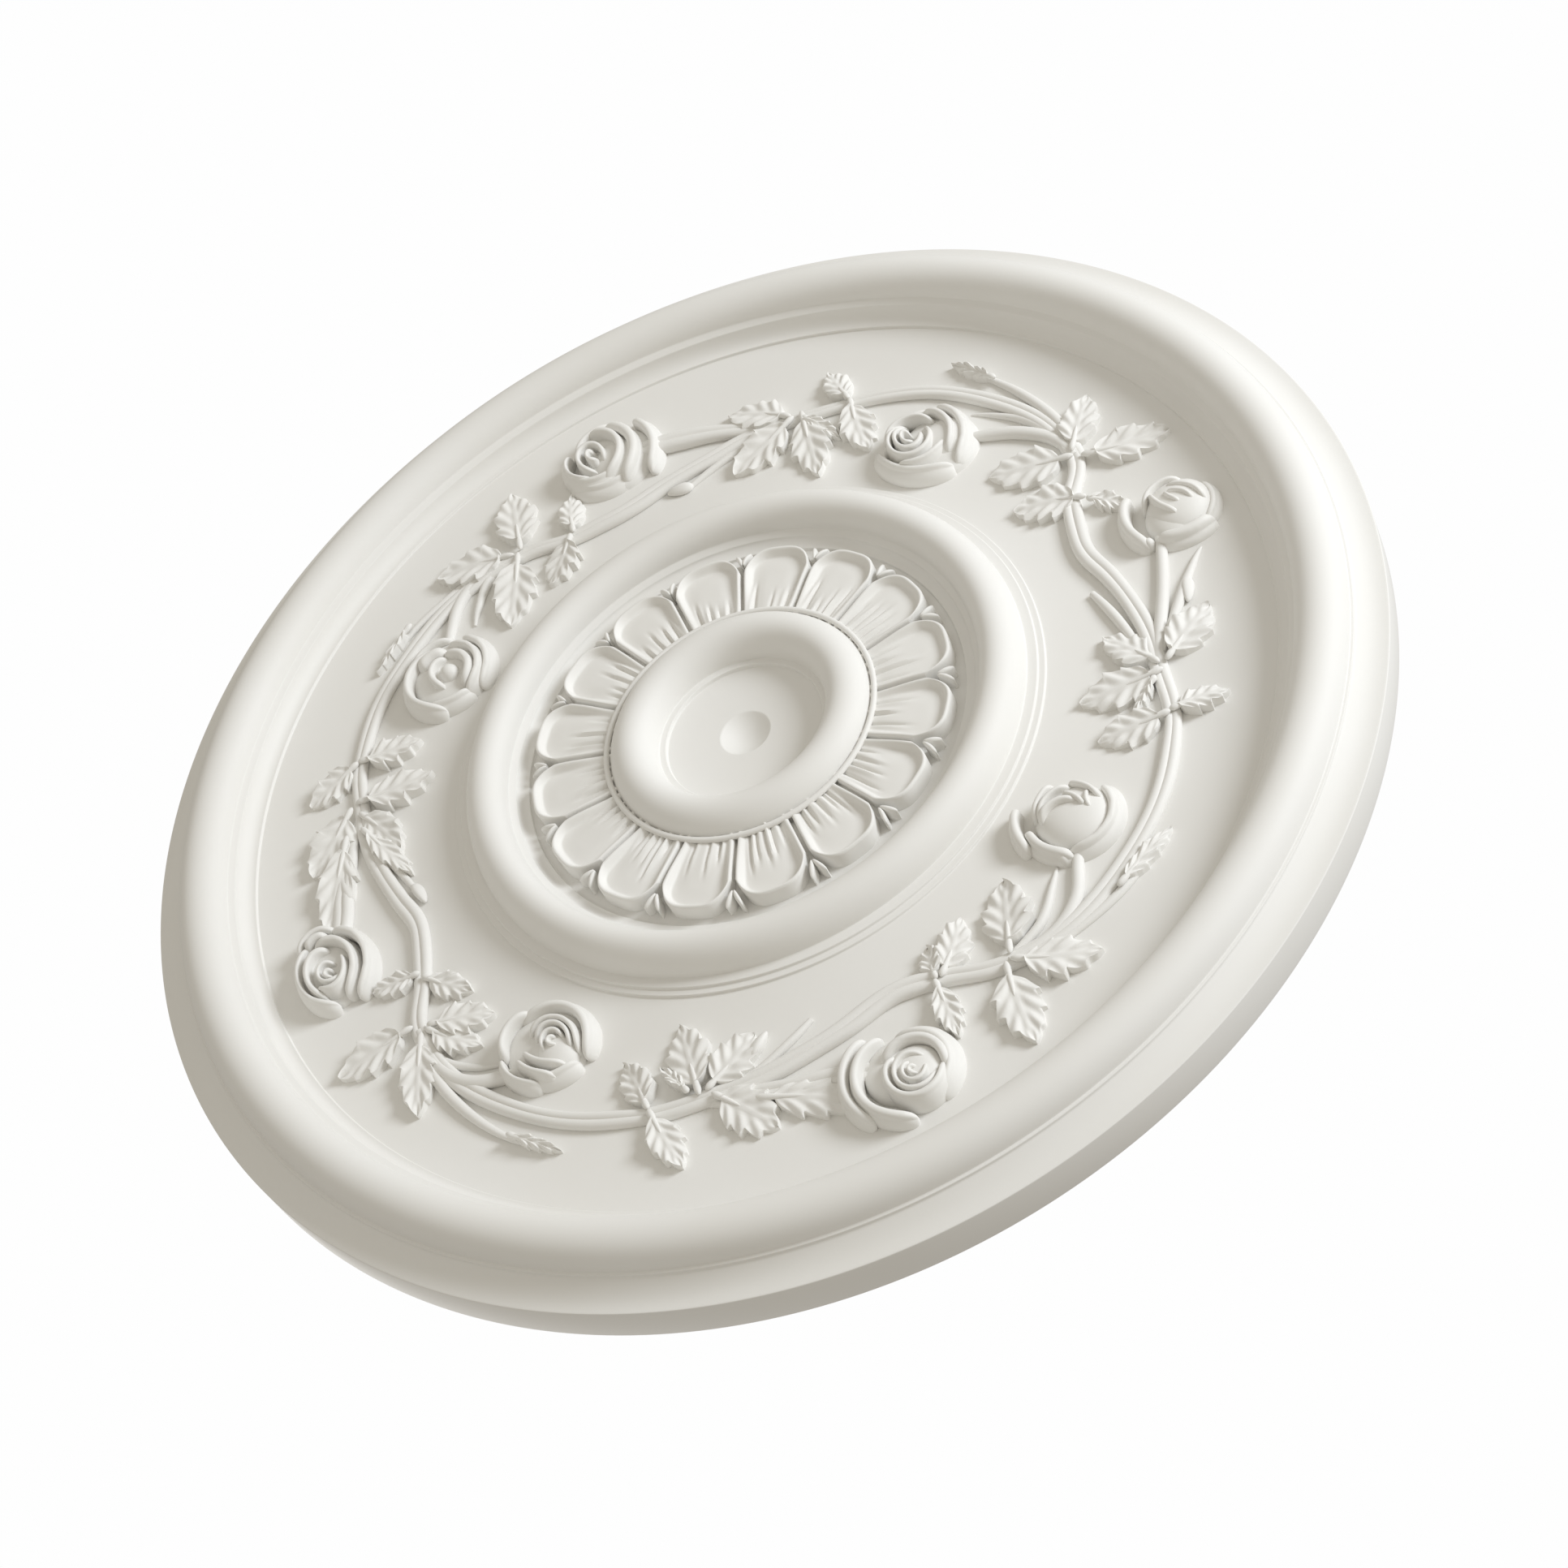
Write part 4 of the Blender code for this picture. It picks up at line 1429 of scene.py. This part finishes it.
def garland_roses(ground: Field) -> list[Rose]:
    """The eight roses, an outer and an inner one in each quarter, each carved differently.

    Args:
        ground: The field that they lie on.

    Returns:
        The roses in order round the face.
    """
    return [
        Rose(ground, "rose_1_inner", (35.3, 0.605), Bloom.OPEN, [
            Petal(-10.6, 8, 2.6, 0, 330, 13.0, 1.2, 1.6, 0.6, 0.8, 1.5),
            Petal(-10.6, 8, 6.0, 60, 320, 13.0, 1.8, 2.8, 1.0, 1.0, 1.35),
            Petal(-10.4, 7, 10.0, 70, 320, 12.6, 1.9, 3.2, 1.5, 1.0, 1.15),
            Petal(-9, 6.5, 13.8, 15, 135, 12.2, 1.9, 2.6, 2.5),
            Petal(-9, 6, 15.2, 210, 120, 11.6, 1.9, 2.4, 2.0, 1.5),
            Petal(-9, 6, 19, -60, 115, 12.0, 2.6, 3.5, 2.0, -1.0),
            Petal(-10, 5, 25.5, -62, 105, 10.0, 3.0, 7.0, 3.0),
            Petal(2, 11, 28, 172, 98, 9.5, 2.4, 6.0, 4.5),
            Petal(-4, 4, 18, 50, 110, 9.5, 2.4, 3.0, 4.0),
        ], [Ball(5, 0, 14, 9.6)]),
        Rose(ground, "rose_1_outer", (88.0, 0.715), Bloom.OPEN, [
            Petal(-9, 3.5, 2.4, 20, 310, 13.0, 1.6, 2.0, 0.8, 0.6, 1.4),
            Petal(-9.5, 3.5, 6.6, -60, 330, 13.0, 2.1, 4.0, 1.2, 1.0, 1.25),
            Petal(-10, 4, 13.6, 125, 135, 11.6, 1.7, 6.0, 4.0),
            Petal(-9, 4, 15.0, -95, 180, 12.9, 3.2, 6.0, 2.0, 0.8, 1.1),
            Petal(-9, 4, 15.5, 185, 125, 10.4, 2.0, 3.0, 4.0, 2.0),
            Petal(-10, 3, 22.6, -68, 126, 11.8, 4.6, 2.0, 2.0),
            Petal(-8, 1, 30.0, -48, 84, 9.4, 3.6, 8.0, 3.0),
            Petal(-5, 3, 19, 190, 110, 7.4, 2.2, 2.4, 4.5),
            Petal(-1, 5, 17, 60, 95, 9.8, 2.6, 2.4, 3.5),
        ], [Ball(2, -3, 16, 9.0)], body=21.5),
        Rose(ground, "rose_2_inner", (130.0, 0.600), Bloom.CURLED, [
            Petal(1.9, -5, 8.4, 70, 170, 13.0, 2.6, 3.4, 1.0, -1.0),
            Petal(1.0, -5, 11.4, -75, 165, 12.6, 3.6, 4.6, 1.6),
            Petal(-2, -5, 18.2, 72, 185, 12.0, 3.0, 4.6, 3.5),
            Petal(-1.5, -4, 13.6, 60, 75, 12.8, 4.6, 3.0, 1.5),
            Petal(0, -3, 17.4, -75, 150, 11.0, 2.8, 4.6, 2.0, 0.6),
            Petal(0, -1, 21.8, -58, 112, 8.6, 2.8, 4.0, 3.0),
            Petal(-1, -2, 18.5, 225, 75, 8.6, 2.4, 2.0, 3.5),
            Petal(0, 2, 17.5, 55, 90, 9.0, 2.4, 2.0, 3.5),
        ], [Ball(1.9, -5.2, 6.0, 12.6)]),
        Rose(ground, "rose_2_outer", (179.6, 0.745), Bloom.OPEN, [
            Petal(1, -7.5, 1.9, 0, 330, 12.6, 1.5, 1.2, 0.5),
            Petal(1, -6, 5.0, 30, 320, 12.6, 1.5, 2.4, 1.0, 0.6, 1.2),
            Petal(0.6, -4.5, 8.4, 200, 200, 12.6, 1.7, 2.8, 1.2, 0.6, 1.35),
            Petal(0.0, -4.5, 9.6, 60, 190, 12.4, 2.1, 3.8, 1.2, 0.0, 1.4),
            Petal(0.8, -3, 12.8, -80, 190, 12.2, 2.7, 3.8, 1.5, 0.0, 1.3),
            Petal(0, -2, 14.2, 100, 170, 10.6, 1.8, 3.4, 2.5, 0.0, 1.35),
            Petal(2.5, -2, 17.4, -72, 150, 10.6, 2.8, 5.0, 2.5, 0.0, 1.25),
            Petal(0.5, 3, 14.5, 50, 95, 11.0, 1.9, 3.0, 2.5, 0.0, 1.3),
            Petal(0.5, 4.5, 11.0, 60, 70, 11.8, 2.2, 2.0, 1.5, 0.0, 1.2),
        ], body=17.0, oval=1.25),
        Rose(ground, "rose_3_inner", (216.8, 0.600), Bloom.OPEN, [
            Petal(4.5, -5, 2.0, 0, 330, 12.8, 1.4, 1.4, 0.5),
            Petal(4.5, -5, 4.8, -30, 250, 12.8, 1.5, 2.2, 0.8, 0.6, 1.2),
            Petal(4.0, -5, 8.0, -50, 200, 12.9, 1.7, 2.8, 1.0, 0.6, 1.2),
            Petal(3.0, -5, 11.6, -45, 180, 12.5, 1.9, 3.2, 1.4, 0.0, 1.15),
            Petal(12, 4, 22, 190, 66, 12.6, 2.0, 3.8, 1.4),
            Petal(10, 2, 24, 188, 58, 11.6, 2.0, 3.0, 2.0),
            Petal(1, -2, 19, -52, 165, 10.8, 3.6, 5.0, 2.5),
            Petal(-3, 3, 15.0, 75, 110, 11.6, 2.8, 3.0, 2.5),
            Petal(-1, 0, 19.5, 165, 85, 9.2, 1.8, 6.0, 3.0),
            Petal(2, -1, 17.5, 215, 85, 8.6, 2.2, 2.6, 3.5),
        ], [Ball(4, -8, 11, 10.4)]),
        Rose(ground, "rose_3_outer", (267.6, 0.722), Bloom.OPEN, [
            Petal(6, -9, 1.7, 0, 330, 12.9, 1.4, 1.4, 0.5),
            Petal(6, -9, 4.6, 60, 330, 12.9, 1.5, 2.4, 0.8, 1.2, 1.15),
            Petal(6, -9, 7.9, 10, 340, 12.9, 1.7, 2.8, 1.0, 1.0, 1.12),
            Petal(6, -8.5, 11.6, 105, 255, 12.6, 2.5, 4.0, 1.4, 0.0, 1.1),
            Petal(6, -6, 13.8, -35, 175, 11.8, 3.2, 2.6, 2.5),
            Petal(3, -4, 21.3, 96, 164, 10.8, 3.6, 9.0, 2.2),
            Petal(1, -2, 24.6, 106, 116, 9.4, 3.6, 6.0, 2.4),
            Petal(5, -4, 17.2, -75, 170, 9.0, 2.4, 2.2, 4.0),
        ], [Ball(6, -6, 14, 10.5)], body=16.0),
        Rose(ground, "rose_4_inner", (307.3, 0.592), Bloom.SIDEWAYS, [
            Petal(8, -7, 22.3, 102, 54, 12.2, 2.2, 3.4, 1.2),
            Petal(-2, -8, 11.7, 30, 112, 13.4, 2.2, 3.4, 1.0),
            Petal(3, -6, 15.4, 66, 88, 12.9, 1.9, 3.0, 1.0),
            Petal(-8, -6, 17.0, 2, 50, 13.0, 1.7, 2.6, 1.0),
            Petal(-1, -4, 17.2, 0, 64, 11.6, 1.8, 2.6, 1.2),
            Petal(24, -6, 13.3, 136, 50, 11.4, 1.5, 2.0, 1.0),
            Petal(2, 0, 23.6, 136, 64, 9.0, 3.8, 9.0, 2.0),
            Petal(4, -1, 21.0, 168, 78, 8.6, 3.8, 8.0, 2.5),
            Petal(3, -2, 17.6, 236, 150, 8.2, 3.0, 3.0, 3.5),
        ], [Ball(3.5, -2.5, 17.0, 10.4), Ball(-10, -19, 2.8, 6.0)], body=15.0),
        Rose(ground, "rose_4_outer", (356.6, 0.738), Bloom.SIDEWAYS, [
            Petal(20, 11, 24, 172, 54, 13.1, 2.0, 3.4, 1.2),
            Petal(17, 9, 15, 176, 50, 13.2, 1.5, 2.2, 0.8),
            Petal(-2, -4, 13, 0, 76, 13.2, 1.5, 2.2, 0.9),
            Petal(-2, -4, 17.6, -4, 80, 12.4, 1.7, 2.6, 1.2),
            Petal(3, 2, 14, 45, 110, 11.8, 1.9, 2.6, 1.5),
            Petal(3, 4, 23.0, 126, 92, 9.4, 4.2, 9.0, 2.0),
            Petal(4, 7, 21.4, 222, 78, 9.0, 4.6, 9.0, 2.5),
            Petal(5, 2.5, 15.5, 290, 100, 6.4, 2.4, 1.6, 2.5),
        ], [Ball(5, 3, 16.2, 11.6), Ball(-16, -8, 2.8, 7.0)], body=14.0),
    ]


@dataclass(frozen=True)
class Studio:
    """Plain pale floor, soft light and the camera of the photograph. Distances are in metres."""

    floor_drop: float = 2.4
    floor_size: float = 90.0
    floor_tone: str = "#CFCCC5"
    floor_roughness: float = 0.9
    backdrop: str = "#FEFEFE"
    sky_level: float = 0.45
    sky_tint: tuple[float, float, float, float] = (1.0, 0.962, 0.895, 1.0)
    overhead_strength: float = 1.2
    overhead_spread: float = 40.0
    overhead_distance: float = 3.0
    overhead_from: tuple[float, float, float] = (-0.35, -0.35, 0.87)
    key_power: float = 43.0
    key_tint: tuple[float, float, float] = (1.0, 1.05, 1.12)
    key_distance: float = 2.6
    key_size: float = 1.0
    key_from: tuple[float, float, float] = (0.852, 0.122, -0.509)
    camera_spot: tuple[float, float, float] = (0.0442, 0.9778, -1.0150)
    camera_right: tuple[float, float, float] = (0.86797, 0.34544, 0.35681)
    camera_up: tuple[float, float, float] = (0.49578, -0.64444, -0.58214)
    lens: float = 69.75

    def build(self) -> None:
        """Make the floor, the lights, the surroundings and the camera."""
        self.floor()
        self.surroundings()
        self.lamps()
        self.camera()

    def floor(self) -> None:
        """Lay the floor well below the ceiling that carries the medallion."""
        deselect()
        bpy.ops.mesh.primitive_plane_add(size=self.floor_size, location=(0, 0, -self.floor_drop))
        item = bpy.context.object
        item.name = "floor"
        material = bpy.data.materials.new("pale_floor")
        material.use_nodes = True
        shader = material.node_tree.nodes["Principled BSDF"]
        shader.inputs["Base Color"].default_value = hex_colour(self.floor_tone)
        shader.inputs["Roughness"].default_value = self.floor_roughness
        item.data.materials.append(material)

    def surroundings(self) -> None:
        """Light the scene evenly from all round, in front of a near-white backdrop."""
        scene = bpy.context.scene
        scene.view_settings.view_transform = "Standard"
        world = bpy.data.worlds.new("studio")
        scene.world = world
        world.use_nodes = True
        tree = world.node_tree
        tree.nodes.clear()
        rays = add_node(tree, "ShaderNodeLightPath", {})
        seen = add_node(tree, "ShaderNodeBackground", {"Color": hex_colour(self.backdrop)})
        light = add_node(
            tree, "ShaderNodeBackground", {"Color": self.sky_tint, "Strength": self.sky_level}
        )
        mix = add_node(tree, "ShaderNodeMixShader", {}, Fac=rays.outputs["Is Camera Ray"])
        tree.links.new(light.outputs[0], mix.inputs[1])
        tree.links.new(seen.outputs[0], mix.inputs[2])
        add_node(tree, "ShaderNodeOutputWorld", {}, Surface=mix.outputs[0])

    def lamps(self) -> None:
        """Hang a soft lamp beside the carved face, and shine from above on the floor."""
        key = bpy.data.lights.new("key", "AREA")
        key.shape = "DISK"
        key.size = self.key_size
        key.energy = self.key_power
        key.color = self.key_tint
        overhead = bpy.data.lights.new("overhead", "SUN")
        overhead.energy = self.overhead_strength
        overhead.angle = math.radians(self.overhead_spread)
        for lamp, source, distance in (
            (key, self.key_from, self.key_distance),
            (overhead, self.overhead_from, self.overhead_distance),
        ):
            item = bpy.data.objects.new(lamp.name, lamp)
            item.location = Vector(source).normalized() * distance
            item.rotation_euler = Vector(source).to_track_quat("Z", "Y").to_euler()
            bpy.context.scene.collection.objects.link(item)

    def camera(self) -> None:
        """Stand the camera where the photograph was taken from."""
        lens = bpy.data.cameras.new("camera")
        lens.lens = self.lens
        item = bpy.data.objects.new("camera", lens)
        right, up = Vector(self.camera_right), Vector(self.camera_up)
        back = right.cross(up)
        turn = Matrix((right, up, back)).transposed().to_4x4()
        item.matrix_world = Matrix.Translation(Vector(self.camera_spot)) @ turn
        bpy.context.scene.collection.objects.link(item)
        bpy.context.scene.camera = item


def dress(item: bpy.types.Object, material: bpy.types.Material) -> None:
    """Turn a piece from the bench to the ceiling, shade it and attach it to the frame.

    Args:
        item: The piece, modelled face up.
        material: Its finish.
    """
    item.data.transform(Matrix.Rotation(math.pi, 4, "X"))
    item.data.materials.clear()
    item.data.materials.append(material)
    select_only(item)
    bpy.ops.object.shade_smooth_by_angle(angle=math.radians(SMOOTH_ANGLE))
    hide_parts(NODE)
    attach(item, "root")
    triangles = sum(len(face.vertices) - 2 for face in item.data.polygons)
    LOG.info("%s: %d triangles", item.name, triangles)


def main() -> None:
    """Build every piece of the medallion and the studio round it."""
    logging.basicConfig(level=logging.INFO, format="%(message)s")
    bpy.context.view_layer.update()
    lowest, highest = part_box(NODE)
    mouldings = Mouldings(outer_radius=highest.x, crest_height=-lowest.z)
    ground = Field(radius=highest.x, height=mouldings.field_height)
    pieces = [mouldings.build()]
    pieces.append(Rosette(inner=mouldings.hub_out, floor=mouldings.rosette_floor).build())
    pieces.append(garland_stem(ground))
    pieces += [quarter.build() for quarter in garland_quarters(ground)]
    pieces += [rose.build() for rose in garland_roses(ground)]
    finish = PrimedPolyurethane().material()
    for piece in pieces:
        dress(piece, finish)
    Studio().build()


if __name__ == "__main__":
    main()
